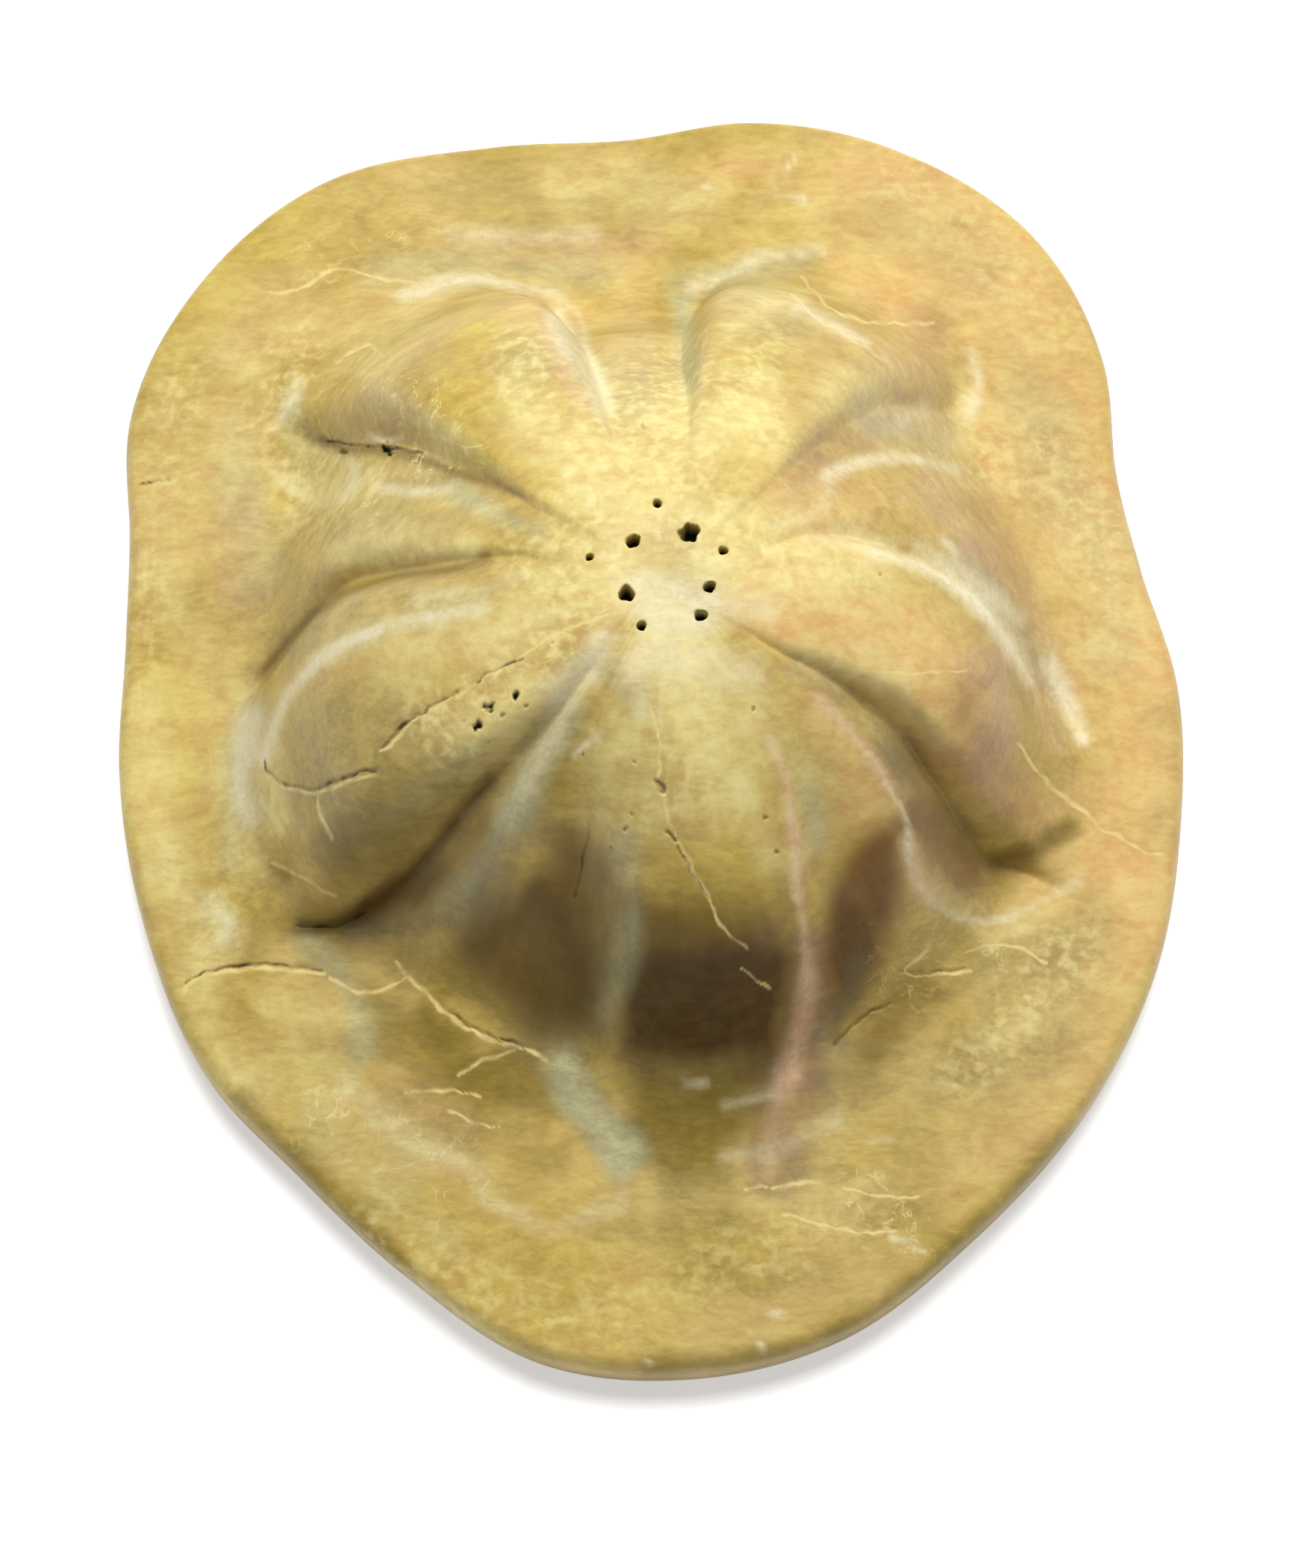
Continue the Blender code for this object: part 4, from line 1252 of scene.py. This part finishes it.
    def stitch(self, first: np.ndarray, second: np.ndarray) -> list[tuple[int, int, int]]:
        """Triangles between two rings of point numbers, of which one may have twice as many.

        Args:
            first: the ring nearer to the apex.
            second: the next ring.

        Returns:
            Triples of point numbers, counter-clockwise from outside.
        """
        faces = []
        small = first if len(first) <= len(second) else second
        large = second if small is first else first
        double = len(large) == 2 * len(small)
        for i in range(len(small)):
            j = (i + 1) % len(small)
            if double:
                a, b, c = (large[(2 * i + n) % len(large)] for n in range(3))
                row = [(small[i], a, b), (small[i], b, small[j]), (small[j], b, c)]
            else:
                row = [(small[i], large[i], large[j]), (small[i], large[j], small[j])]
            if small is not first:
                row = [face[::-1] for face in row]
            faces.extend(row)
        return faces

    def base_surface(self) -> Surface:
        """The whole shell as rings of points and the triangles between them.

        Returns:
            The mesh before its edges are halved.
        """
        places = self.top_places()
        top = [self.form.ring(r, a, self.uneven_height(r, a)) for r, a in places]
        edge = self.edge_points(top[-1][:, 2])
        sole = self.sole_points()
        centre = np.zeros(1)
        apex = self.form.ring(centre, centre, self.uneven_height(centre, centre))
        throat = self.form.ring(centre, centre, self.form.dish_depth + self.mouth_depth)
        rings = [*top, *edge, *sole]
        sides = [Side.TOP] * len(top) + [Side.EDGE] * len(edge) + [Side.SOLE] * len(sole)
        numbers = []
        count = 1
        for ring in rings:
            numbers.append(np.arange(count, count + len(ring)))
            count += len(ring)
        start = numbers[0]
        faces = [(0, start[i], start[(i + 1) % len(start)]) for i in range(len(start))]
        for first, second in zip(numbers, numbers[1:]):
            faces.extend(self.stitch(first, second))
        last = numbers[-1]
        faces.extend((count, last[(i + 1) % len(last)], last[i]) for i in range(len(last)))
        marks = np.concatenate([np.full(len(ring), side.value) for ring, side in zip(rings, sides)])
        return Surface(
            np.concatenate([apex, *rings, throat]),
            np.concatenate([[Side.TOP.value], marks, [Side.SOLE.value]]),
            np.array(faces),
        )

    def from_pore(self, points: np.ndarray, pore: Pore) -> np.ndarray:
        """Rows of x, y from a pore's middle to points."""
        centre = self.form.ring(np.array([pore.distance]), np.array([pore.angle]), 0.0)[0]
        return (points - centre)[:, :2]

    def pore_distance(self, points: np.ndarray) -> np.ndarray:
        """Distance in plan to the nearest pore's rim.

        Args:
            points: rows of x, y, z.

        Returns:
            One distance for each point.
        """
        nearest = np.full(len(points), np.inf)
        for pore in PORES:
            nearest = np.minimum(nearest, np.hypot(*self.from_pore(points, pore).T) - pore.radius)
        return nearest

    def vent_distance(self, points: np.ndarray) -> np.ndarray:
        """Distance in plan from the middle of the oval vent under the rear edge.

        Args:
            points: rows of x, y, z.

        Returns:
            One distance for each point, 1 on the vent's rim.
        """
        angle = np.array([self.vent_angle])
        centre = self.form.ring(self.form.edge_radius(angle) - self.vent_inset, angle, np.zeros(1))[0]
        turn = math.radians(self.vent_angle)
        x, y = (points - centre)[:, :2].T
        outward = (x * math.cos(turn) + y * math.sin(turn)) / self.vent_size[0]
        sideways = (y * math.cos(turn) - x * math.sin(turn)) / self.vent_size[1]
        return np.hypot(outward, sideways)

    def refined(self, surface: Surface, reach: float) -> Surface:
        """The surface with its edges halved near cracks, pits and pores.

        Args:
            surface: the mesh so far.
            reach: how far from these features edges are halved, in millimetres.

        Returns:
            A finer mesh.
        """
        pixels = self.view.pixels(surface.points)
        per_mm = self.view.focus / self.view.distance
        near = self.markings.fineness(pixels) / per_mm < reach
        near |= self.pore_distance(surface.points) < reach
        near &= surface.sides == Side.TOP.value
        near |= (surface.sides == Side.SOLE.value) & (self.vent_distance(surface.points) < 1 + reach)
        pairs = np.sort(surface.faces[:, [0, 1, 1, 2, 2, 0]].reshape(-1, 2), axis=1)
        halved = near[pairs].any(axis=1) & (surface.sides[pairs[:, 0]] == surface.sides[pairs[:, 1]])
        wanted = np.unique(pairs[halved], axis=0)
        middles = surface.points[wanted].mean(axis=1)
        number = {tuple(pair): len(surface.points) + i for i, pair in enumerate(wanted.tolist())}
        faces = []
        for a, b, c in surface.faces.tolist():
            cut = [number.get((min(p, q), max(p, q))) for p, q in ((a, b), (b, c), (c, a))]
            faces.extend(self.split((a, b, c), cut))
        sides = np.concatenate([surface.sides, surface.sides[wanted[:, 0]]])
        return Surface(np.concatenate([surface.points, middles]), sides, np.array(faces))

    def split(self, face: tuple[int, int, int], cut: list[int | None]) -> list[tuple[int, int, int]]:
        """The triangles that a triangle becomes when some of its sides are halved.

        Args:
            face: the triangle's point numbers.
            cut: for each side, from its first point on, the number of its middle point or None.

        Returns:
            One to four triangles.
        """
        count = sum(middle is not None for middle in cut)
        a, b, c = face
        if count == 0:
            return [face]
        if count == 3:
            ab, bc, ca = cut
            return [(a, ab, ca), (ab, b, bc), (ca, bc, c), (ab, bc, ca)]
        while cut[0] is None or (count == 2 and cut[1] is None):
            a, b, c = b, c, a
            cut = [*cut[1:], cut[0]]
        if count == 1:
            return [(a, cut[0], c), (cut[0], b, c)]
        return [(cut[0], b, cut[1]), (a, cut[0], cut[1]), (a, cut[1], c)]

    def settled(self, surface: Surface) -> dict[str, np.ndarray]:
        """Set the upper side's points to their final height, and name what covers each point.

        Args:
            surface: the finished mesh, whose points are moved.

        Returns:
            Values from 0 to 1 for each point, by attribute name.
        """
        top = surface.sides == Side.TOP.value
        points = surface.points[top]
        radius, angle = self.form.polar(points)
        height = self.uneven_height(radius, angle)
        pixels = self.view.pixels(np.column_stack([points[:, :2], height]))
        height += self.ripple * noise_at(points, self.ripple_waves)
        covers = {fill.value: np.zeros(len(points)) for fill in Fill}
        for crack in CRACKS:
            cover = self.markings.crack_cover(pixels, crack)
            covers[crack.fill.value] = np.maximum(covers[crack.fill.value], cover)
            height -= crack.depth * cover
        # Painted shade, near black, in the pits and pores.
        hollow_shade = np.zeros(len(points))
        for pit in PITS:
            cover = self.markings.pit_cover(pixels, pit)
            hollow_shade = np.maximum(hollow_shade, cover * min(1.0, pit.half_width / self.black_pit))
            height -= pit.depth * cover
        for pore in PORES:
            offset = self.from_pore(points, pore)
            ragged = self.pore_raggedness * noise_at(offset, self.pore_raggedness_waves, pore.angle)
            cover = smooth_step((1.0 + ragged - np.hypot(*offset.T) / pore.radius) / self.pore_wall)
            hollow_shade = np.maximum(hollow_shade, cover)
            height -= self.pore_depth * min(1.0, pore.radius / self.full_depth_radius) * cover
        surface.points[top, 2] = height
        covers["hollow_shade"] = hollow_shade
        named = {name: self.spread(values, top) for name, values in covers.items()}
        sole = surface.sides == Side.SOLE.value
        vent = np.sqrt(np.clip(1 - self.vent_distance(surface.points) ** 2, 0, 1)) * sole
        surface.points[:, 2] += self.vent_size[2] * vent
        # Painted shade deepening into the vent and the mouth.
        deep = (surface.points[:, 2] - self.form.dish_depth) / self.mouth_depth * sole
        named["hollow_shade"] += self.cave_shade * np.clip(vent + deep, 0, 1)
        return named

    def spread(self, values: np.ndarray, where: np.ndarray) -> np.ndarray:
        """Carry the values of some points to all.

        Args:
            values: values of the chosen points.
            where: for each point, whether it is one of them.

        Returns:
            Values for all points, 0 for the others.
        """
        full = np.zeros(len(where))
        full[where] = values
        return full

    def pigment_covers(self, surface: Surface) -> dict[str, np.ndarray]:
        """How much of each pigment every point has, none on the mouth side, with painted shade on the lower
        edge.

        Args:
            surface: the finished mesh.

        Returns:
            Values from 0 to 1 for each point, by the pigment's name.
        """
        pixels = self.view.pixels(surface.points)
        kept = np.select(
            [surface.sides == Side.TOP.value, surface.sides == Side.EDGE.value],
            [1.0, smooth_step((surface.points[:, 2] - self.edge_pigment_start) / self.edge_pigment_rise)],
            0.0,
        )
        shown = kept > 0
        covers = {}
        ragged = self.markings.raggedness(pixels[shown])
        for pigment in Pigment:
            cover = self.markings.coverage(pixels[shown], ragged, pigment)
            covers[pigment.name.lower()] = self.spread(cover * kept[shown], shown)
        # Painted shade on the lower part of the brim's edge, laid into the brown cover.
        rim = smooth_step((self.rim_shade_top - surface.points[:, 2]) / self.rim_shade_top)
        rim *= surface.sides == Side.EDGE.value
        umber_and_shade = Pigment.UMBER_AND_SHADE.name.lower()
        covers[umber_and_shade] = np.maximum(covers[umber_and_shade], rim)
        return covers

    def flanks(self, surface: Surface) -> np.ndarray:
        """Where the petals' porous flanks lie.

        Args:
            surface: the finished mesh.

        Returns:
            Values from 0 to 1 for each point.
        """
        radius, angle = self.form.polar(surface.points)
        lobe, across, _ = self.form.place_in_lobes(radius, angle)
        share = radius / column(LOBES, "reach")[lobe]
        flank = band(np.abs(across), *self.flank_across) * band(share, *self.flank_run)
        return flank * (lobe % 2 == 1) * (surface.sides == Side.TOP.value)

    def fitted(self, points: np.ndarray) -> np.ndarray:
        """The points pressed by a hair's breadth, where they pass it, into the construction model's box.

        Args:
            points: rows of x, y, z.

        Returns:
            The points inside the box.
        """
        low, high = (np.array(corner) / MM for corner in cad_box)
        lowest, highest = points.min(axis=0), points.max(axis=0)
        new_low, new_high = np.maximum(low, lowest), np.minimum(high, highest)
        return new_low + (points - lowest) * (new_high - new_low) / (highest - lowest)

    def build(self) -> bpy.types.Object:
        """Make the shell's mesh with its named covers.

        Returns:
            The shell, linked and smooth, without a material.
        """
        surface = self.base_surface()
        for reach in self.refine_widths:
            surface = self.refined(surface, reach)
        covers = self.settled(surface)
        covers.update(self.pigment_covers(surface))
        covers["flank"] = self.flanks(surface)
        mesh = bpy.data.meshes.new("fossil_shell")
        mesh.from_pydata((self.fitted(surface.points) * MM).tolist(), [], surface.faces.tolist())
        for name, values in covers.items():
            layer = mesh.attributes.new(name, "FLOAT", "POINT")
            layer.data.foreach_set("value", values.astype(np.float32))
        mesh.shade_smooth()
        shell = bpy.data.objects.new("fossil_shell", mesh)
        bpy.context.scene.collection.objects.link(shell)
        log.info("shell mesh: %d triangles", len(mesh.polygons))
        return shell


def linear(colour: tuple[int, int, int]) -> tuple[float, float, float, float]:
    """A colour as shaders use it.

    Args:
        colour: red, green and blue from 0 to 255.

    Returns:
        Linear red, green and blue, and 1.
    """
    values = [c / 255 for c in colour]
    values = [c / 12.92 if c <= 0.04045 else ((c + 0.055) / 1.055) ** 2.4 for c in values]
    return (*values, 1.0)


@dataclass(frozen=True)
class Cloud:
    """A cloudy noise: its waves to the millimetre, the finer waves laid on it, and its distortion."""

    scale: float
    detail: float
    bend: float = 0.0


@dataclass(frozen=True)
class Nodes:
    """A material's node tree, with short calls to add nodes."""

    tree: bpy.types.NodeTree

    def add(self, kind: str, inputs: dict[str | int, object], **settings: object) -> bpy.types.Node:
        """Add a node.

        Args:
            kind: the node's type.
            inputs: values or output sockets, by input name or place.
            settings: the node's own properties.

        Returns:
            The node.
        """
        node = self.tree.nodes.new(kind)
        for name, value in settings.items():
            setattr(node, name, value)
        for key, value in inputs.items():
            if isinstance(value, bpy.types.NodeSocket):
                self.tree.links.new(value, node.inputs[key])
            else:
                node.inputs[key].default_value = value
        return node

    def cover(self, name: str) -> bpy.types.NodeSocket:
        """The mesh's values of one name."""
        return self.add("ShaderNodeAttribute", {}, attribute_name=name).outputs["Fac"]

    def maths(self, operation: str, *values: object, clamp: bool = False) -> bpy.types.NodeSocket:
        """A sum, product or other calculation."""
        settings = {"operation": operation, "use_clamp": clamp}
        return self.add("ShaderNodeMath", dict(enumerate(values)), **settings).outputs[0]

    def vector(self, operation: str, *values: object) -> bpy.types.NodeSocket:
        """A calculation with vectors."""
        return self.add("ShaderNodeVectorMath", dict(enumerate(values)), operation=operation).outputs[0]

    def grey(self, value: bpy.types.NodeSocket) -> bpy.types.NodeSocket:
        """A value as a grey colour."""
        return self.add("ShaderNodeCombineColor", {0: value, 1: value, 2: value}).outputs[0]

    def remap(
        self, value: object, low: float, high: float, to_low: float = 0.0, to_high: float = 1.0
    ) -> bpy.types.NodeSocket:
        """A value carried smoothly from one range to another.

        Args:
            value: the value or socket.
            low: the value that becomes to_low.
            high: the value that becomes to_high.
            to_low: the result at and below low.
            to_high: the result at and above high.

        Returns:
            The carried value.
        """
        inputs = {0: value, 1: low, 2: high, 3: to_low, 4: to_high}
        return self.add("ShaderNodeMapRange", inputs, interpolation_type="SMOOTHSTEP").outputs[0]

    def mottle(self, place: bpy.types.NodeSocket, cloud: Cloud) -> bpy.types.NodeSocket:
        """Cloudy noise from 0 to 1.

        Args:
            place: the place in millimetres.
            cloud: the kind of noise.

        Returns:
            The noise.
        """
        inputs = {"Vector": place, "Scale": cloud.scale, "Detail": cloud.detail, "Distortion": cloud.bend}
        return self.add("ShaderNodeTexNoise", inputs).outputs["Fac"]

    def mix(self, share: object, first: object, second: object, blend: str = "MIX") -> bpy.types.NodeSocket:
        """Two colours mixed.

        Args:
            share: how much of the second.
            first: the colour below.
            second: the colour on top.
            blend: Blender's name of the way of mixing.

        Returns:
            The mixed colour.
        """
        node = self.add("ShaderNodeMix", {}, data_type="RGBA", blend_type=blend)
        for key, value in ((0, share), (6, first), (7, second)):
            if isinstance(value, bpy.types.NodeSocket):
                self.tree.links.new(value, node.inputs[key])
            else:
                node.inputs[key].default_value = value
        return node.outputs[2]


@dataclass(frozen=True)
class PolishedFossil:
    """Honey-coloured stone, polished by hand, with pigments, painted shade and highlights where the shell's
    covers say.
    """

    light_ochre: tuple[int, int, int] = (212, 184, 112)
    deep_ochre: tuple[int, int, int] = (190, 163, 84)
    crack_cream: tuple[int, int, int] = (240, 216, 146)
    crack_dark: tuple[int, int, int] = (66, 48, 22)
    # near-black painted shade for pits, pores, vent and mouth
    hollow_shade_colour: tuple[int, int, int] = (16, 11, 5)
    roughness: float = 0.42
    roughness_spread: tuple[float, float] = (0.06, 0.08)
    specular: float = 0.12
    apex: tuple[float, float] = (1.0, 0.8)
    drawn_out: tuple[float, float, float] = (0.6, 1.25, 1.0)
    elsewhere: tuple[float, float, float] = (31, 17, 5)
    worn: Cloud = Cloud(0.5, 4.0, 0.6)
    fleck: Cloud = Cloud(0.8, 5.0, 0.3)
    vein: Cloud = Cloud(0.3, 3.0, 0.8)
    feather: Cloud = Cloud(1.1, 4.0, 1.2)
    clouds: Cloud = Cloud(0.06, 4.0, 0.6)
    patches: Cloud = Cloud(0.24, 6.0, 1.2)
    grain: Cloud = Cloud(1.3, 5.0, 0.6)
    lines: Cloud = Cloud(1.0, 3.0, 0.6)
    healing: Cloud = Cloud(0.45, 3.0)
    streak_scales: tuple[float, float] = (7.0, 0.5)
    brush_scales: tuple[float, float] = (15.0, 0.06)
    striae_scales: tuple[float, float] = (3.0, 0.75)
    patch_share: float = 0.3
    streak_share: float = 0.1
    brush_shares: tuple[float, float] = (0.06, 0.3)
    striae_share: float = 0.12
    grain_share: float = 0.22
    calm_in_dark: float = 0.3
    wear: float = 0.35
    wear_in_dark: float = 0.05
    bump_strength: float = 0.25
    bump_height: float = 0.0002

    def streaks(
        self, nodes: Nodes, place: bpy.types.NodeSocket, round_scale: float, out_scale: float
    ) -> bpy.types.NodeSocket:
        """Noise drawn out round the apex, as the fine lines of growth and polish are.

        Args:
            nodes: the material's nodes.
            place: the place in millimetres.
            round_scale: waves to each radian round the apex.
            out_scale: waves to the millimetre away from it.

        Returns:
            The noise from 0 to 1.
        """
        flat = nodes.vector("MULTIPLY", nodes.vector("SUBTRACT", place, (*self.apex, 0)), (1, 1, 0))
        radius = nodes.add("ShaderNodeVectorMath", {0: flat}, operation="LENGTH").outputs["Value"]
        direction = nodes.vector("NORMALIZE", flat)
        direction = nodes.vector("MULTIPLY", direction, (round_scale, round_scale, round_scale))
        outward = nodes.maths("MULTIPLY", radius, out_scale)
        shift = nodes.add("ShaderNodeCombineXYZ", {2: outward}).outputs[0]
        return nodes.mottle(nodes.vector("ADD", direction, shift), self.lines)

    def shaded(
        self, nodes: Nodes, colour: object, share: object, tone: object, spread: float = 0.25
    ) -> bpy.types.NodeSocket:
        """A colour made lighter and darker by a noise.

        Args:
            nodes: the material's nodes.
            colour: the colour.
            share: how strongly, from 0 to 1.
            tone: the noise, 0.5 where the colour stays.
            spread: how far from 0.5 the noise has its full effect.

        Returns:
            The uneven colour.
        """
        grey = nodes.grey(nodes.remap(tone, 0.5 - spread, 0.5 + spread, 0.3, 0.7))
        return nodes.mix(share, colour, grey, "OVERLAY")

    def pattern(self, nodes: Nodes, pigment: Pigment, noises: dict[str, object]) -> bpy.types.NodeSocket:
        """How a pigment's cover is broken up: worn, in flecks, in fine veins or in feathery smears.

        Args:
            nodes: the material's nodes.
            pigment: the pigment.
            noises: the material's noises by name.

        Returns:
            A share from 0 to 1.
        """
        if pigment is Pigment.FLECK:
            return nodes.remap(noises["fleck"], 0.4, 0.7)
        if pigment is Pigment.VEIN:
            beside = nodes.maths("ABSOLUTE", nodes.maths("SUBTRACT", noises["vein"], 0.5))
            line = nodes.remap(beside, 0.004, 0.022, 1.0, 0.0)
            return nodes.maths("MULTIPLY", line, nodes.remap(noises["worn"], 0.42, 0.58))
        if pigment in (Pigment.MIST, Pigment.PALE_AND_HIGHLIGHT, Pigment.ROSE_AND_HIGHLIGHT):
            return nodes.remap(noises["feather"], 0.25, 0.75, 0.65, 1.05)
        dark = (Pigment.UMBER_AND_SHADE, Pigment.RUSSET_AND_SHADE, Pigment.BISTRE_AND_SHADE, Pigment.OLIVE_AND_SHADE)
        wear = self.wear_in_dark if pigment in dark else self.wear
        return nodes.remap(noises["worn"], 0.3, 0.7, 1 - wear, 1 + wear / 2)

    def cracked(self, nodes: Nodes, colour: object, place: object) -> bpy.types.NodeSocket:
        """The cracks, healed with pale crystal in places and dark in others, and painted shade in the pits,
        pores, vent and mouth.

        Args:
            nodes: the material's nodes.
            colour: the colour so far.
            place: the place in millimetres.

        Returns:
            The colour with them.
        """
        healed = nodes.remap(nodes.mottle(place, self.healing), 0.35, 0.6, 0.35, 0.95)
        open_share = nodes.maths("SUBTRACT", 1.3, healed)
        dark = nodes.maths("MULTIPLY", nodes.cover(Fill.DARK.value), open_share, clamp=True)
        cream = nodes.maths("MULTIPLY", nodes.cover(Fill.CREAM.value), healed)
        colour = nodes.mix(cream, colour, linear(self.crack_cream))
        colour = nodes.mix(dark, colour, linear(self.crack_dark))
        return nodes.mix(nodes.cover("hollow_shade"), colour, linear(self.hollow_shade_colour))

    def pigmented(self, nodes: Nodes, place: bpy.types.NodeSocket) -> bpy.types.NodeSocket:
        """The ochre of the stone with its pigments, painted shade and highlights among them, laid on in
        order.

        Args:
            nodes: the material's nodes.
            place: the place in millimetres.

        Returns:
            The colour.
        """
        elsewhere = nodes.vector("ADD", place, self.elsewhere)
        noises = {
            "worn": nodes.mottle(elsewhere, self.worn),
            "fleck": nodes.mottle(elsewhere, self.fleck),
            "vein": nodes.mottle(elsewhere, self.vein),
            "feather": nodes.mottle(place, self.feather),
        }
        shift = nodes.remap(nodes.mottle(place, self.clouds), 0.36, 0.64)
        colour = nodes.mix(shift, linear(self.deep_ochre), linear(self.light_ochre))
        for pigment in Pigment:
            cover = nodes.cover(pigment.name.lower())
            share = nodes.maths("MULTIPLY", cover, self.pattern(nodes, pigment, noises), clamp=True)
            colour = nodes.mix(share, colour, linear(pigment.value))
        return colour

    def lined(self, nodes: Nodes, colour: object, place: object, calm: object, dark: object) -> object:
        """The colour with the lines of growth and polish that run round and out from the apex.

        Args:
            nodes: the material's nodes.
            colour: the colour so far.
            place: the place in millimetres.
            calm: how strong the patches between them are.
            dark: how much of the dark browns and their painted shade lies there, from 0 to 1.

        Returns:
            The lined colour.
        """
        patches = nodes.mottle(nodes.vector("MULTIPLY", place, self.drawn_out), self.patches)
        colour = self.shaded(nodes, colour, nodes.maths("MULTIPLY", calm, self.patch_share), patches, 0.2)
        streaks = self.streaks(nodes, place, *self.streak_scales)
        colour = self.shaded(nodes, colour, self.streak_share, streaks)
        brush = self.streaks(nodes, place, *self.brush_scales)
        colour = self.shaded(nodes, colour, nodes.remap(dark, 0.0, 1.0, *self.brush_shares), brush)
        striae = self.streaks(nodes, place, *self.striae_scales)
        flank = nodes.maths("MULTIPLY", nodes.cover("flank"), self.striae_share)
        return self.shaded(nodes, colour, flank, striae, 0.2)

    def build(self) -> bpy.types.Material:
        """Make the material.

        Returns:
            A material for the shell.
        """
        material = bpy.data.materials.new("polished_fossil")
        material.use_nodes = True
        nodes = Nodes(material.node_tree)
        surface = material.node_tree.nodes["Principled BSDF"]
        coordinates = nodes.add("ShaderNodeTexCoord", {}).outputs["Object"]
        place = nodes.vector("MULTIPLY", coordinates, (1 / MM, 1 / MM, 1 / MM))
        drawn = nodes.vector("MULTIPLY", place, self.drawn_out)
        grain = nodes.mottle(drawn, self.grain)
        # Where the dark browns and their painted shade lie, the patches and grain are calmer and the brushed
        # streaks stronger.
        dark = nodes.maths("MAXIMUM", nodes.cover("umber_and_shade"), nodes.cover("bistre_and_shade"))
        dark = nodes.maths("MAXIMUM", dark, nodes.cover("russet_and_shade"))
        calm = nodes.remap(dark, 0.0, 1.0, 1.0, self.calm_in_dark)
        colour = self.lined(nodes, self.pigmented(nodes, place), place, calm, dark)
        colour = self.shaded(nodes, colour, nodes.maths("MULTIPLY", calm, self.grain_share), grain, 0.2)
        colour = self.cracked(nodes, colour, place)
        bump_inputs = {"Strength": self.bump_strength, "Distance": self.bump_height, "Height": grain}
        bump = nodes.add("ShaderNodeBump", bump_inputs)
        low, high = self.roughness - self.roughness_spread[0], self.roughness + self.roughness_spread[1]
        gloss = nodes.remap(nodes.mottle(drawn, self.patches), 0.3, 0.7, low, high)
        rough = nodes.maths("ADD", gloss, nodes.cover("hollow_shade"), clamp=True)
        nodes.tree.links.new(colour, surface.inputs["Base Color"])
        nodes.tree.links.new(bump.outputs[0], surface.inputs["Normal"])
        nodes.tree.links.new(rough, surface.inputs["Roughness"])
        surface.inputs["Specular IOR Level"].default_value = self.specular
        return material


@dataclass(frozen=True)
class Studio:
    """A plain pale floor under one large soft lamp, with a pale room around."""

    floor_half: float = 3.0
    floor_colour: tuple[int, int, int] = (250, 250, 250)
    floor_glow: float = 0.55
    floor_roughness: float = 0.9
    room: float = 0.05
    lamp_power: float = 9.0
    lamp_size: float = 0.45
    lamp_distance: float = 0.9
    lamp_back_tilt: float = 19.0
    lamp_left_tilt: float = -2.0

    def build_floor(self) -> bpy.types.Object:
        """Make the floor.

        Returns:
            The floor, marked as stage.
        """
        half = self.floor_half
        mesh = bpy.data.meshes.new("floor")
        corners = [(-half, -half, 0), (half, -half, 0), (half, half, 0), (-half, half, 0)]
        mesh.from_pydata(corners, [], [(0, 1, 2, 3)])
        floor = bpy.data.objects.new("floor", mesh)
        bpy.context.scene.collection.objects.link(floor)
        material = bpy.data.materials.new("pale_floor")
        material.use_nodes = True
        surface = material.node_tree.nodes["Principled BSDF"]
        surface.inputs["Base Color"].default_value = linear(self.floor_colour)
        surface.inputs["Roughness"].default_value = self.floor_roughness
        surface.inputs["Emission Color"].default_value = linear(self.floor_colour)
        surface.inputs["Emission Strength"].default_value = self.floor_glow
        surface.inputs["Specular IOR Level"].default_value = 0.0
        mesh.materials.append(material)
        return floor

    def build_lights(self) -> None:
        """Make the lamp and the room's pale light."""
        data = bpy.data.lights.new("soft_lamp", "AREA")
        data.energy = self.lamp_power
        data.shape = "DISK"
        data.size = self.lamp_size
        lamp = bpy.data.objects.new("soft_lamp", data)
        back = math.radians(self.lamp_back_tilt)
        left = math.radians(self.lamp_left_tilt)
        level = math.cos(left)
        direction = Vector((-math.sin(left), math.sin(back) * level, math.cos(back) * level))
        lamp.location = direction * self.lamp_distance
        lamp.rotation_euler = direction.to_track_quat("Z", "Y").to_euler()
        bpy.context.scene.collection.objects.link(lamp)
        world = bpy.data.worlds.new("pale_room")
        world.use_nodes = True
        background = world.node_tree.nodes["Background"]
        background.inputs["Color"].default_value = (1, 1, 1, 1)
        background.inputs["Strength"].default_value = self.room
        bpy.context.scene.world = world
        bpy.context.scene.view_settings.view_transform = "Standard"


def main() -> None:
    """Build the shell, its finish and the studio, and report each piece."""
    logging.basicConfig(level=logging.INFO, format="%(name)s: %(message)s")
    view = PhotoView()
    view.build()
    shell = FineShell(ShellForm(), Markings(view), view).build()
    shell.data.materials.append(PolishedFossil().build())
    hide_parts("urchin_shell")
    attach(shell, "root")
    log.info("shell: done")
    studio = Studio()
    studio.build_floor()
    studio.build_lights()
    log.info("studio: done")


if __name__ == "__main__":
    main()
